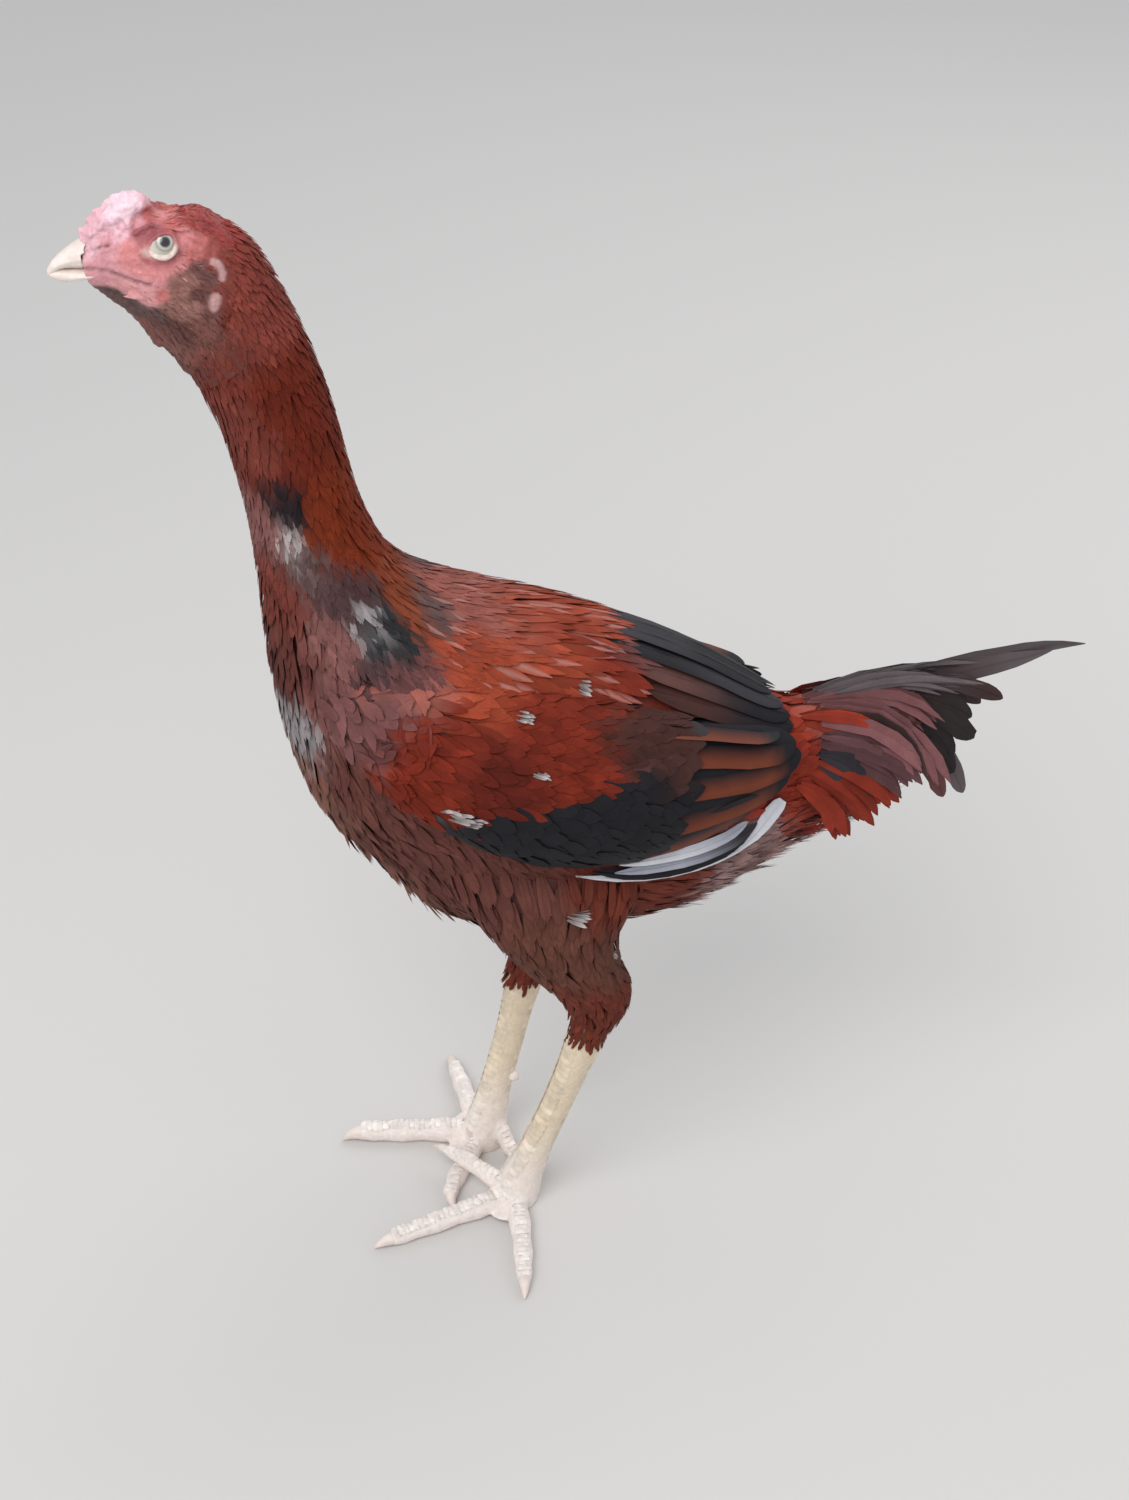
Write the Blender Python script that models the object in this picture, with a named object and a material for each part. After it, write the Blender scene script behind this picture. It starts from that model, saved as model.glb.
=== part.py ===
"""A young game cockerel standing at rest, life size, for Blender 4.5.

The bird faces -X with its left side towards -Y, and its feet stand on z = 0.
Every length in the tables is in millimetres on the bird's own plan, whose zero
lies on the floor below the middle of the trunk. place() turns it into metres
from the centre of the whole bird's footprint, which is the part's origin.

One line of rings runs from the face through the neck and trunk to the tail.
It is lofted in six lengths that face each other across thin cuts. Wings, legs,
toes, claws, beak, comb and eyes are lofted beside it and trimmed to clear it.
"""

import math

import bmesh
import bpy
from mathutils import Matrix, Vector

MM = 0.001
PLAN_CENTRE = Vector((31.4, -1.5, 0.0))
PART_GAP = 0.45          # clearance between neighbouring pieces
CUT_GAP = 0.4            # width of the cuts through the body line
RING_SIDES = 20          # sides of a body ring
WING_SIDES = 16
THIGH_SIDES = 14
SHANK_SIDES = 14
TOE_SIDES = 10
SMALL_SIDES = 12         # sides of beak, comb and tail feathers
CLAW_SIDES = 8
RINGS_PER_SPAN = 2       # rings lofted for each span of a table

# Body line. Each row is a ring: back x, z; front x, z; half width; pear.
# Pear above 0 makes the ring wider towards the back, below 0 towards the front.
BODY_RINGS = (
    (-222.0, 627.5, -220.0, 609.0, 8.0, 0.05),
    (-213.0, 632.0, -212.0, 606.5, 11.5, 0.05),
    (-202.0, 637.0, -204.5, 601.0, 14.5, 0.08),
    (-190.0, 641.5, -199.5, 593.0, 16.8, 0.10),
    (-178.0, 643.0, -195.0, 583.5, 18.2, 0.08),
    (-166.0, 641.0, -190.0, 575.0, 19.2, 0.04),
    (-155.5, 632.5, -185.0, 567.5, 20.5, 0.0),
    (-146.5, 619.5, -181.0, 560.5, 22.3, 0.0),
    (-137.0, 602.0, -177.5, 553.0, 24.3, 0.0),
    (-127.5, 582.0, -174.0, 543.5, 26.2, 0.0),
    (-118.5, 561.0, -169.5, 532.0, 27.5, 0.0),
    (-112.5, 538.0, -166.0, 517.0, 28.0, 0.0),
    (-107.5, 512.0, -162.5, 498.5, 28.8, 0.0),
    (-102.0, 486.0, -159.5, 477.0, 30.5, 0.0),
    (-92.0, 460.0, -158.0, 452.0, 36.0, 0.0),
    (-78.0, 442.0, -157.0, 421.0, 46.0, 0.0),
    (-60.0, 430.0, -155.0, 384.0, 56.0, 0.04),
    (-36.0, 420.0, -149.0, 343.0, 62.0, 0.08),
    (-8.0, 411.0, -136.0, 301.0, 65.0, 0.10),
    (20.0, 400.0, -108.0, 262.0, 66.0, 0.10),
    (47.0, 385.5, -73.0, 221.0, 66.0, 0.10),
    (75.0, 367.0, -20.0, 205.0, 62.0, 0.08),
    (100.0, 348.0, 33.0, 200.0, 54.0, 0.05),
    (121.0, 333.5, 80.0, 211.0, 42.0, 0.0),
    (139.0, 328.5, 118.0, 229.0, 33.0, 0.0),
    (157.0, 329.5, 148.0, 239.0, 25.0, 0.0),
    (177.0, 332.5, 174.0, 247.0, 18.5, 0.0),
    (194.0, 335.0, 195.0, 258.0, 12.0, 0.0),
)
# Where the body line is cut into nodes, by row of BODY_RINGS.
BODY_LENGTHS = (
    ("head", 0, 7),
    ("neck_upper", 7, 11),
    ("neck_lower", 11, 15),
    ("breast", 15, 20),
    ("rump", 20, 24),
    ("tail", 24, 27),
)

# Folded wing, left side: top x, y, z; bottom x, y, z; half thickness.
WING_RINGS = (
    (-122.0, -44.0, 408.0, -133.0, -52.0, 392.0, 6.0),
    (-104.0, -47.0, 410.0, -121.0, -62.0, 366.0, 12.0),
    (-70.0, -48.0, 404.0, -94.0, -70.0, 336.0, 17.0),
    (-34.0, -47.0, 394.0, -59.0, -73.0, 311.0, 21.0),
    (2.0, -45.0, 382.0, -23.0, -73.0, 294.0, 23.0),
    (37.0, -42.0, 367.0, 16.0, -69.0, 286.0, 22.0),
    (70.0, -38.0, 352.0, 55.0, -61.0, 288.0, 18.0),
    (96.0, -34.0, 338.0, 89.0, -50.0, 296.0, 12.0),
    (116.0, -31.0, 329.0, 116.0, -40.0, 306.0, 5.0),
)

# Feathered thigh: front x, z; back x, z; sideways distance; half width.
THIGH_RINGS = (
    (-86.0, 300.0, 46.0, 286.0, 34.0, 22.0),
    (-74.0, 266.0, 38.0, 254.0, 41.0, 31.0),
    (-56.0, 235.0, 23.0, 225.0, 44.0, 29.5),
    (-35.0, 203.0, 24.0, 199.0, 42.5, 25.5),
    (-17.0, 178.0, 31.0, 178.0, 39.0, 21.5),
    (-7.0, 156.0, 30.0, 157.0, 36.0, 17.0),
    (-6.0, 139.0, 19.0, 137.0, 35.0, 12.5),
)
# The right leg stands further forward: shift of each thigh ring in x and z.
RIGHT_THIGH_SHIFT = (
    (0.0, 0.0),
    (0.0, 0.0),
    (-4.0, -2.0),
    (-10.0, -4.0),
    (-17.0, -7.0),
    (-22.0, -10.0),
    (-24.0, -11.0),
)

# Shank: x, y, z; fore-and-aft radius; sideways radius. The last rows are the sole.
LEFT_SHANK = (
    (7.0, -35.0, 146.0, 9.0, 8.0),
    (5.0, -35.0, 134.0, 10.8, 9.6),
    (-2.0, -34.0, 112.0, 9.4, 8.2),
    (-12.0, -31.5, 80.0, 8.7, 7.8),
    (-23.0, -29.0, 48.0, 9.2, 8.4),
    (-30.0, -27.0, 27.0, 11.2, 10.6),
    (-34.0, -26.0, 13.0, 13.5, 12.5),
    (-35.0, -26.0, -3.0, 11.5, 11.5),
)
RIGHT_SHANK = (
    (-16.0, 35.0, 136.0, 9.0, 8.0),
    (-17.0, 35.0, 124.0, 10.8, 9.6),
    (-22.0, 34.0, 104.0, 9.4, 8.2),
    (-29.0, 31.5, 76.0, 8.7, 7.8),
    (-37.0, 29.0, 47.0, 9.2, 8.4),
    (-42.0, 27.0, 27.0, 11.2, 10.6),
    (-45.0, 26.0, 13.0, 13.5, 12.5),
    (-46.0, 26.0, -3.0, 11.5, 11.5),
)

# Toes: the middle line's points from the ball of the foot, then the claw's tip,
# the radius at the base and the radius at the nail. The left inner toe lies across
# the right inner toe.
TOES = {
    "toe_left_middle": (
        ((-38, -28, 6.4), (-62, -34.5, 5.8), (-88, -40.5, 5.1), (-115, -47, 4.4)),
        (-127, -49.5, 1.2), 7.4, 5.1),
    "toe_left_outer": (
        ((-37, -29, 6.1), (-38.5, -53, 5.5), (-41, -75, 4.8), (-44, -94, 4.0)),
        (-46.5, -107, 1.2), 7.0, 4.7),
    "toe_left_inner": (
        ((-38, -27, 9.0), (-49, -21, 14.5), (-62, -6.5, 17.2), (-72, 5.0, 16.6)),
        (-80.5, 14, 13.5), 6.2, 3.7),
    "toe_left_hind": (
        ((-28, -23, 25), (-24, -15, 14), (-21, -8, 5.0), (-19, -3, 3.1)),
        (-17, 4, 1.2), 5.2, 3.7),
    "toe_right_middle": (
        ((-47, 28, 6.8), (-70, 33.5, 6.3), (-96, 39, 5.8), (-121, 43.5, 5.2)),
        (-133.5, 43, 1.2), 7.8, 6.0),
    "toe_right_outer": (
        ((-46, 30, 6.1), (-50, 52.5, 5.5), (-52, 72.5, 4.8), (-54, 91.5, 4.0)),
        (-55.5, 104.5, 1.2), 7.0, 4.6),
    "toe_right_inner": (
        ((-48, 25, 5.7), (-59, 9.5, 5.3), (-69, -6, 4.9), (-75, -19, 4.3)),
        (-73.5, -30, 1.2), 6.5, 4.9),
    "toe_right_hind": (
        ((-41, 22, 25), (-36.5, 16, 14), (-33, 10, 5.6), (-30.5, 4.5, 3.5)),
        (-27.5, -4.5, 1.2), 5.4, 4.0),
}
TOE_JOINTS = 3
KNUCKLE_SWELL = 0.09     # share by which a toe swells at its joints
CLAW_ROOT = 0.82         # claw's root radius as a share of the toe's last radius

# Beak: top z and bottom z at x, with the half width there.
UPPER_BEAK = (
    (-214.0, 630.5, 616.6, 8.2),
    (-222.0, 629.0, 615.8, 7.4),
    (-229.0, 625.5, 615.2, 5.6),
    (-234.5, 620.5, 613.6, 3.2),
    (-237.5, 615.0, 611.6, 0.9),
)
LOWER_BEAK = (
    (-212.0, 615.6, 607.0, 8.0),
    (-221.0, 615.1, 608.0, 6.6),
    (-228.0, 614.4, 609.4, 4.4),
    (-233.0, 612.9, 610.9, 1.4),
)
# Low three-ridged comb: x, middle z, half height, half width.
COMB = (
    (-222.5, 629.0, 2.0, 2.2),
    (-217.0, 632.5, 6.2, 5.8),
    (-209.0, 638.0, 8.8, 8.2),
    (-200.0, 643.0, 8.6, 8.8),
    (-192.0, 644.5, 5.6, 7.0),
    (-187.0, 644.0, 2.0, 3.0),
)
EYE_PLACE = (-184.5, 12.6, 631.5)
EYE_RADIUS = 7.4

# Soft swellings of the head: x, y, z, reach, push outwards (x, y, z).
HEAD_SWELLS = (
    (-188.0, 15.0, 641.0, 9.0, (-1.0, 3.2, 1.4)),     # brow ridge
    (-199.0, 12.0, 634.0, 8.0, (-0.5, 1.4, 0.6)),     # brow's front end
    (-186.0, 17.0, 631.0, 6.5, (0.0, -2.4, 0.0)),     # hollow round the eye
    (-192.0, 15.0, 612.0, 10.0, (0.0, 2.2, -0.5)),    # cheek
    (-166.0, 18.0, 611.0, 9.0, (0.0, 1.8, 0.0)),      # ear
    (-205.0, 12.0, 620.0, 7.0, (0.0, -1.2, 0.0)),     # hollow behind the beak
)

# Tail quills' fan and the one long curved feather, on the middle plane:
# upper x, z; lower x, z; half thickness.
FAN_RINGS = (
    (182.0, 332.0, 183.0, 260.0, 9.0),
    (198.0, 335.5, 206.0, 257.0, 10.0),
    (214.0, 337.0, 228.0, 249.0, 9.0),
    (232.0, 332.0, 236.0, 268.0, 6.0),
    (249.0, 322.0, 247.0, 300.0, 2.5),
)
LONG_FEATHER_RINGS = (
    (180.0, 336.5, 182.0, 331.5, 1.4),
    (205.0, 341.5, 208.0, 333.5, 2.0),
    (232.0, 346.0, 235.0, 334.0, 2.0),
    (258.0, 348.0, 260.0, 336.5, 1.6),
    (281.0, 346.0, 281.0, 338.0, 1.2),
    (300.5, 341.0, 300.1, 339.0, 0.6),
)
LONG_FEATHER_Y = 3.0     # sideways place of the long feather on the far side

# Spur buds, at a point on each shank's inner back edge.
SPUR_ROOT_RADIUS, SPUR_TIP_RADIUS, SPUR_LENGTH = 4.8, 1.8, 11.0
SPURS = {
    "spur_left": ((-14.5, -27.5, 55.0), (0.55, 0.78, -0.1)),
    "spur_right": ((-29.5, 27.5, 54.0), (0.62, -0.74, -0.1)),
}

COLOURS = {              # base colour, roughness
    "plumage": ((0.27, 0.045, 0.02), 0.6),
    "dark_plumage": ((0.03, 0.03, 0.035), 0.5),
    "face_skin": ((0.62, 0.20, 0.19), 0.55),
    "comb_skin": ((0.72, 0.33, 0.36), 0.5),
    "scaled_skin": ((0.70, 0.60, 0.44), 0.45),
    "horn": ((0.76, 0.68, 0.55), 0.35),
    "eye": ((0.60, 0.56, 0.44), 0.08),
}


def place(x, y, z):
    """A point of the plan, in metres from the part's origin."""
    return (Vector((x, y, z)) - PLAN_CENTRE) * MM


def make_material(name):
    colour, roughness = COLOURS[name]
    made = bpy.data.materials.new(name)
    made.use_nodes = True
    shader = made.node_tree.nodes["Principled BSDF"]
    shader.inputs["Base Color"].default_value = (*colour, 1.0)
    shader.inputs["Roughness"].default_value = roughness
    made.diffuse_color = (*colour, 1.0)
    return made


def smooth_rows(rows, per_span=RINGS_PER_SPAN):
    """Rows of numbers on a smooth curve through the table's rows."""
    points = [Vector(row) for row in rows]
    points = [2 * points[0] - points[1], *points, 2 * points[-1] - points[-2]]
    made = []
    for i in range(1, len(points) - 2):
        a, b, c, d = points[i - 1:i + 3]
        for step in range(per_span):
            t = step / per_span
            made.append(0.5 * (2 * b + (c - a) * t + (2 * a - 5 * b + 4 * c - d) * t ** 2
                               + (3 * b - a - 3 * c + d) * t ** 3))
    made.append(points[-2])
    return made


def add_ring(bm, middle, across, along, pear=0.0, sides=RING_SIDES):
    """One closed ring of vertices. across and along are its half axes."""
    normal = across.cross(along).normalized()
    frame = Matrix((
        (across.x, along.x, normal.x, middle.x),
        (across.y, along.y, normal.y, middle.y),
        (across.z, along.z, normal.z, middle.z),
        (0.0, 0.0, 0.0, 1.0),
    ))
    ring = bmesh.ops.create_circle(bm, segments=sides, radius=1.0)["verts"]
    for vert in ring:
        vert.co.x *= 1.0 + pear * vert.co.y
        vert.co = frame @ vert.co
    return ring


def ring_edges(ring):
    inside = set(ring)
    return list({e for v in ring for e in v.link_edges if e.other_vert(v) in inside})


def loft(rings, bm):
    """Joins each ring to the next and closes both ends."""
    loops = [ring_edges(ring) for ring in rings]
    for first, second in zip(loops, loops[1:]):
        bmesh.ops.bridge_loops(bm, edges=first + second)
    bmesh.ops.edgeloop_fill(bm, edges=loops[0])
    bmesh.ops.edgeloop_fill(bm, edges=loops[-1])
    bmesh.ops.recalc_face_normals(bm, faces=bm.faces)


class Bird:
    """The collections and materials, and the pieces made so far."""

    def __init__(self):
        self.parts = bpy.data.collections.new("game_cockerel")
        self.cutters = bpy.data.collections.new("cutters")
        bpy.context.scene.collection.children.link(self.parts)
        bpy.context.scene.collection.children.link(self.cutters)
        self.materials = {name: make_material(name) for name in COLOURS}
        self.pieces = {}

    def add(self, name, bm, material):
        mesh = bpy.data.meshes.new(name)
        bm.to_mesh(mesh)
        bm.free()
        mesh.shade_smooth()
        mesh.set_sharp_from_angle(angle=math.radians(50))
        mesh.materials.append(self.materials[material])
        piece = bpy.data.objects.new(name, mesh)
        self.parts.objects.link(piece)
        self.pieces[name] = piece
        return piece

    def grown_copy(self, name):
        """A hidden cutter: the untrimmed piece, thicker by PART_GAP all round."""
        cutter_name = name + "_cutter"
        if cutter_name in self.cutters.objects:
            return self.cutters.objects[cutter_name]
        mesh = self.pieces[name].data.copy()
        bm = bmesh.new()
        bm.from_mesh(mesh)
        bm.normal_update()
        moves = [(v, v.normal * PART_GAP * MM * v.calc_shell_factor()) for v in bm.verts]
        for vert, move in moves:
            vert.co += move
        bm.to_mesh(mesh)
        bm.free()
        cutter = bpy.data.objects.new(cutter_name, mesh)
        cutter.hide_render = True
        cutter.display_type = "WIRE"
        self.cutters.objects.link(cutter)
        return cutter

    def trim(self, name, *neighbours):
        """Cuts a piece back so that it clears the neighbours."""
        for neighbour in neighbours:
            cut = self.pieces[name].modifiers.new("clear_" + neighbour, "BOOLEAN")
            cut.operation = "DIFFERENCE"
            cut.object = self.grown_copy(neighbour)


def add_body_ring(bm, row, slide):
    """A ring of the body line, slid towards the tail by a few tenths."""
    back, front = place(row[0], 0.0, row[1]), place(row[2], 0.0, row[3])
    across, along = Vector((0.0, row[4] * MM, 0.0)), (back - front) / 2
    towards_tail = across.cross(along).normalized()
    return add_ring(bm, (back + front) / 2 + towards_tail * slide * MM, across, along, row[5])


def swell(bm, swells):
    """Moves the surface near each point outwards, alike on both sides."""
    for x, y, z, reach, (push_x, push_y, push_z) in swells:
        for side in (-1.0, 1.0):
            centre = place(x, side * y, z)
            push = Vector((push_x, side * push_y, push_z)) * MM
            for vert in bm.verts:
                distance = (vert.co - centre).length / (reach * MM)
                vert.co += push * math.exp(-distance ** 2)


def build_body_line(bird):
    rows = smooth_rows(BODY_RINGS)
    for name, first, last in BODY_LENGTHS:
        bm = bmesh.new()
        own = rows[first * RINGS_PER_SPAN:last * RINGS_PER_SPAN + 1]
        rings = []
        for i, row in enumerate(own):
            slide = 0.0
            if i == 0 and name != "head":
                slide = CUT_GAP / 2
            if i == len(own) - 1 and name != "tail":
                slide = -CUT_GAP / 2
            rings.append(add_body_ring(bm, row, slide))
        loft(rings, bm)
        if name == "head":
            swell(bm, HEAD_SWELLS)
        bird.add(name, bm, "face_skin" if name == "head" else "plumage")


def build_wing(bird, name, side):
    bm = bmesh.new()
    rings = []
    for row in smooth_rows(WING_RINGS):
        top = place(row[0], -side * row[1], row[2])
        bottom = place(row[3], -side * row[4], row[5])
        along = (top - bottom) / 2
        outwards = along.cross(Vector((1.0, 0.0, 0.0))).normalized()
        rings.append(add_ring(bm, (top + bottom) / 2, outwards * row[6] * MM, along, 0.0, WING_SIDES))
    loft(rings, bm)
    bird.add(name, bm, "plumage")
    bird.trim(name, "breast", "rump", "neck_lower", "tail")


def build_thigh(bird, name, side):
    shifts = RIGHT_THIGH_SHIFT if side > 0 else ((0.0, 0.0),) * len(THIGH_RINGS)
    rows = [(fx + dx, fz + dz, bx + dx, bz + dz, y, w)
            for (fx, fz, bx, bz, y, w), (dx, dz) in zip(THIGH_RINGS, shifts)]
    bm = bmesh.new()
    rings = []
    for row in smooth_rows(rows):
        front, back = place(row[0], side * row[4], row[1]), place(row[2], side * row[4], row[3])
        across = Vector((0.0, row[5] * MM, 0.0))
        rings.append(add_ring(bm, (front + back) / 2, across, (front - back) / 2, 0.0, THIGH_SIDES))
    loft(rings, bm)
    bird.add(name, bm, "plumage")
    wing = "wing_left" if side < 0 else "wing_right"
    bird.trim(name, "breast", "rump", wing)


def flatten_sole(bm):
    """Cuts the shape off at the floor and closes the cut."""
    geometry = bm.verts[:] + bm.edges[:] + bm.faces[:]
    cut = bmesh.ops.bisect_plane(bm, geom=geometry, plane_co=(0, 0, 0), plane_no=(0, 0, -1),
                                 clear_outer=True)
    rim = [e for e in cut["geom_cut"] if isinstance(e, bmesh.types.BMEdge)]
    if rim:
        bmesh.ops.holes_fill(bm, edges=rim)
        bmesh.ops.recalc_face_normals(bm, faces=bm.faces)


def build_shank(bird, name, rows, thigh):
    bm = bmesh.new()
    rings = []
    made = smooth_rows(rows)
    for i, row in enumerate(made):
        middle = place(*row[:3])
        before, after = made[max(i - 1, 0)], made[min(i + 1, len(made) - 1)]
        line = place(*after[:3]) - place(*before[:3])
        level = min(1.0, max(0.0, (30.0 - row[2]) / 15.0))
        line = line.normalized().lerp(Vector((0.0, 0.0, -1.0)), level).normalized()
        across = Vector((0.0, 1.0, 0.0))
        along = line.cross(across).normalized()
        across = along.cross(line).normalized()
        rings.append(add_ring(bm, middle, across * row[4] * MM, along * row[3] * MM, 0.0, SHANK_SIDES))
    loft(rings, bm)
    flatten_sole(bm)
    bird.add(name, bm, "scaled_skin")
    bird.trim(name, thigh)


def tube(bm, points, radii, sides=TOE_SIDES, flatness=1.0):
    """A round piece along a line of points, flatness being its height over its width."""
    rings = []
    for i, (point, radius) in enumerate(zip(points, radii)):
        line = points[min(i + 1, len(points) - 1)] - points[max(i - 1, 0)]
        side = line.cross(Vector((0.0, 0.0, 1.0))).normalized()
        rise = side.cross(line).normalized()
        rings.append(add_ring(bm, point, side * radius, rise * radius * flatness, 0.0, sides))
    loft(rings, bm)


def build_toe(bird, name, shank, neighbours):
    line, claw_tip, base_radius, nail_radius = TOES[name]
    made = smooth_rows(line)
    count = len(made) - 1
    radii = []
    for i in range(count + 1):
        t = i / count
        joints = 1.0 + KNUCKLE_SWELL * math.cos(2 * math.pi * TOE_JOINTS * t)
        radii.append((base_radius + (nail_radius - base_radius) * t) * joints * MM)
    points = [place(*row) for row in made]
    tip = points[-1] + (points[-1] - points[-2]).normalized() * radii[-1] * 0.7
    bm = bmesh.new()
    tube(bm, points + [tip], radii + [radii[-1] * 0.55])
    flatten_sole(bm)
    bird.add(name, bm, "scaled_skin")
    bird.trim(name, shank, *neighbours)
    build_claw(bird, name, points, place(*claw_tip), radii[-1])


def build_claw(bird, toe, points, tip, toe_radius):
    """A curved nail that starts inside the toe's end and bends to its tip."""
    start = points[-1] + (points[-2] - points[-1]).normalized() * 2.0 * MM
    onward = (points[-1] - points[-2]).normalized()
    reach = (tip - start).length
    bend = start + onward * reach * 0.55 + Vector((0.0, 0.0, 1.6 * MM))
    steps = 6
    line, radii = [], []
    for i in range(steps + 1):
        t = i / steps
        line.append(start * (1 - t) ** 2 + bend * 2 * t * (1 - t) + tip * t ** 2)
        radii.append(max(toe_radius * CLAW_ROOT * (1 - t) ** 0.75, 0.45 * MM))
    bm = bmesh.new()
    tube(bm, line, radii, CLAW_SIDES, 0.92)
    flatten_sole(bm)
    name = toe.replace("toe", "claw")
    bird.add(name, bm, "horn")
    bird.trim(name, toe)


def build_spur(bird, name, shank):
    root, direction = SPURS[name]
    onward = Vector(direction).normalized()
    start = place(*root)
    bm = bmesh.new()
    points = [start + onward * SPUR_LENGTH * MM * t for t in (0.0, 0.5, 0.85, 1.0)]
    radii = [SPUR_ROOT_RADIUS * MM, SPUR_ROOT_RADIUS * 0.85 * MM, SPUR_TIP_RADIUS * 1.6 * MM,
             SPUR_TIP_RADIUS * 0.6 * MM]
    tube(bm, points, radii, CLAW_SIDES)
    bird.add(name, bm, "horn")
    bird.trim(name, shank)


def build_beak(bird, name, rows, neighbours):
    bm = bmesh.new()
    rings = []
    for row in smooth_rows(rows):
        top, bottom = place(row[0], 0.0, row[1]), place(row[0], 0.0, row[2])
        across = Vector((0.0, row[3] * MM, 0.0))
        rings.append(add_ring(bm, (top + bottom) / 2, across, (top - bottom) / 2, 0.0, SMALL_SIDES))
    loft(rings, bm)
    bird.add(name, bm, "horn")
    bird.trim(name, *neighbours)


def build_comb(bird):
    bm = bmesh.new()
    rings = []
    for x, middle, half_height, half_width in smooth_rows(COMB):
        across = Vector((0.0, half_width * MM, 0.0))
        along = Vector((0.0, 0.0, half_height * MM))
        rings.append(add_ring(bm, place(x, 0.0, middle), across, along, 0.0, SMALL_SIDES))
    loft(rings, bm)
    bird.add("comb", bm, "comb_skin")
    bird.trim("comb", "head", "beak_upper")


def build_eye(bird, name, side):
    x, y, z = EYE_PLACE
    bm = bmesh.new()
    bmesh.ops.create_uvsphere(bm, u_segments=14, v_segments=8, radius=EYE_RADIUS * MM,
                              matrix=Matrix.Translation(place(x, side * y, z)))
    bird.add(name, bm, "eye")
    bird.trim("head", name)


def build_tail_feathers(bird):
    for name, rows, y in (("tail_long_feather", LONG_FEATHER_RINGS, LONG_FEATHER_Y),
                          ("tail_fan", FAN_RINGS, 0.0)):
        bm = bmesh.new()
        rings = []
        for row in smooth_rows(rows):
            top, bottom = place(row[0], y, row[1]), place(row[2], y, row[3])
            across = Vector((0.0, row[4] * MM, 0.0))
            rings.append(add_ring(bm, (top + bottom) / 2, across, (top - bottom) / 2, 0.0, SMALL_SIDES))
        loft(rings, bm)
        bird.add(name, bm, "dark_plumage")
    bird.trim("tail_long_feather", "tail")
    bird.trim("tail_fan", "tail", "tail_long_feather")


def build_leg(bird, side_name, side, shank_rows):
    thigh, shank = "thigh_" + side_name, "shank_" + side_name
    build_thigh(bird, thigh, side)
    build_shank(bird, shank, shank_rows, thigh)
    toe = "toe_" + side_name + "_"
    build_toe(bird, toe + "middle", shank, ())
    build_toe(bird, toe + "outer", shank, (toe + "middle",))
    build_toe(bird, toe + "inner", shank, (toe + "middle",))
    build_toe(bird, toe + "hind", shank, ())
    build_spur(bird, "spur_" + side_name, shank)


def build():
    for old in list(bpy.data.objects):
        bpy.data.objects.remove(old, do_unlink=True)
    bird = Bird()
    build_body_line(bird)
    build_eye(bird, "eye_left", -1.0)
    build_eye(bird, "eye_right", 1.0)
    build_beak(bird, "beak_upper", UPPER_BEAK, ("head",))
    build_beak(bird, "beak_lower", LOWER_BEAK, ("head", "beak_upper"))
    build_comb(bird)
    build_wing(bird, "wing_left", -1.0)
    build_wing(bird, "wing_right", 1.0)
    build_tail_feathers(bird)
    build_leg(bird, "left", -1.0, LEFT_SHANK)
    build_leg(bird, "right", 1.0, RIGHT_SHANK)


build()
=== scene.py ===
"""A young game cock, standing, life size: one skin, feathers in tracts, scales, eyes, beak and claws."""
import math

import bmesh
import bpy
import numpy as np
from mathutils import Matrix, Vector, noise
from mathutils.bvhtree import BVHTree


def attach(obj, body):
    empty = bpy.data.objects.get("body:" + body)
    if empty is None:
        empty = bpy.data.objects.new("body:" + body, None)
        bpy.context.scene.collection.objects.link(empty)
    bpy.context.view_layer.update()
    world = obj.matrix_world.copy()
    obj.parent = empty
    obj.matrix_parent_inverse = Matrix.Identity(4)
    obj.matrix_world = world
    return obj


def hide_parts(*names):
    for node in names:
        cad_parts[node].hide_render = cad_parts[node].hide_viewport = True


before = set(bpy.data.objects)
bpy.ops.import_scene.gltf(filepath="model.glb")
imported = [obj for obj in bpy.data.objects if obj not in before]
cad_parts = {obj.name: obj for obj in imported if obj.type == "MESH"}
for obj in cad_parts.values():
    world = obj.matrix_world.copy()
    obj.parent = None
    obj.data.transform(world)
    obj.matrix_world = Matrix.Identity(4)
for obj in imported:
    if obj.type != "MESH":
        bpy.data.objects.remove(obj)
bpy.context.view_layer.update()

MM = 0.001
MIDDLE = 1.5             # y of the bird's middle plane, in millimetres
KNOTS = 8                # points on each feather's line
COAT_SINK = 0.9          # how far the coat's tips lie inside the frame's outline
PIECE_LIMIT = 160000     # triangles a piece may have before it is split
TRIES = 9                # places tried for each feather that fits
AREA_GRID = 24           # steps each way in which a form's area is measured
ROOT_SHADE = 0.9         # how much darker a feather is at its root: painted shade under the feathers that lie over it
HACKLES_PER_PATH = 8     # feathers along each path of the tail's drooping coverts
BROAD_HACKLE = 3.8       # half width from which such a feather is a broad one
BARBS_PER_TUFT = 12      # strands in each tuft of white down
CLAW_SIDES = 12          # points round a claw
QUILL_THICK = 0.3        # half thickness of a quill's vane
SHARP_ANGLE = 60         # degrees past which an edge of a feather is shown sharp
HEAD_CELL, TRUNK_CELL, LEG_CELL = 0.78, 4.6, 1.1     # cells in which the skin's parts are fused
HORN_CELL, CLAW_CELL = 0.45, 0.4     # cells of the beak and spur buds, and of the claws
# How far the trunk's skin lies under the frame's outline in millimetres, and the heights in metres
# above which the first of these holds and below which the last does.
NECK_DEPTH, TRUNK_DEPTH, THIGH_DEPTH = 4.2, 6.0, 4.5
NECK_START, THIGH_END = 0.5, 0.16
NECK_CUT = (-187.0, 0.0, 571.0)      # where the head's skin ends under the hackle
EYE_GAZE = (0.16, 0.48)              # how far back and up an eye looks, for one sideways
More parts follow.
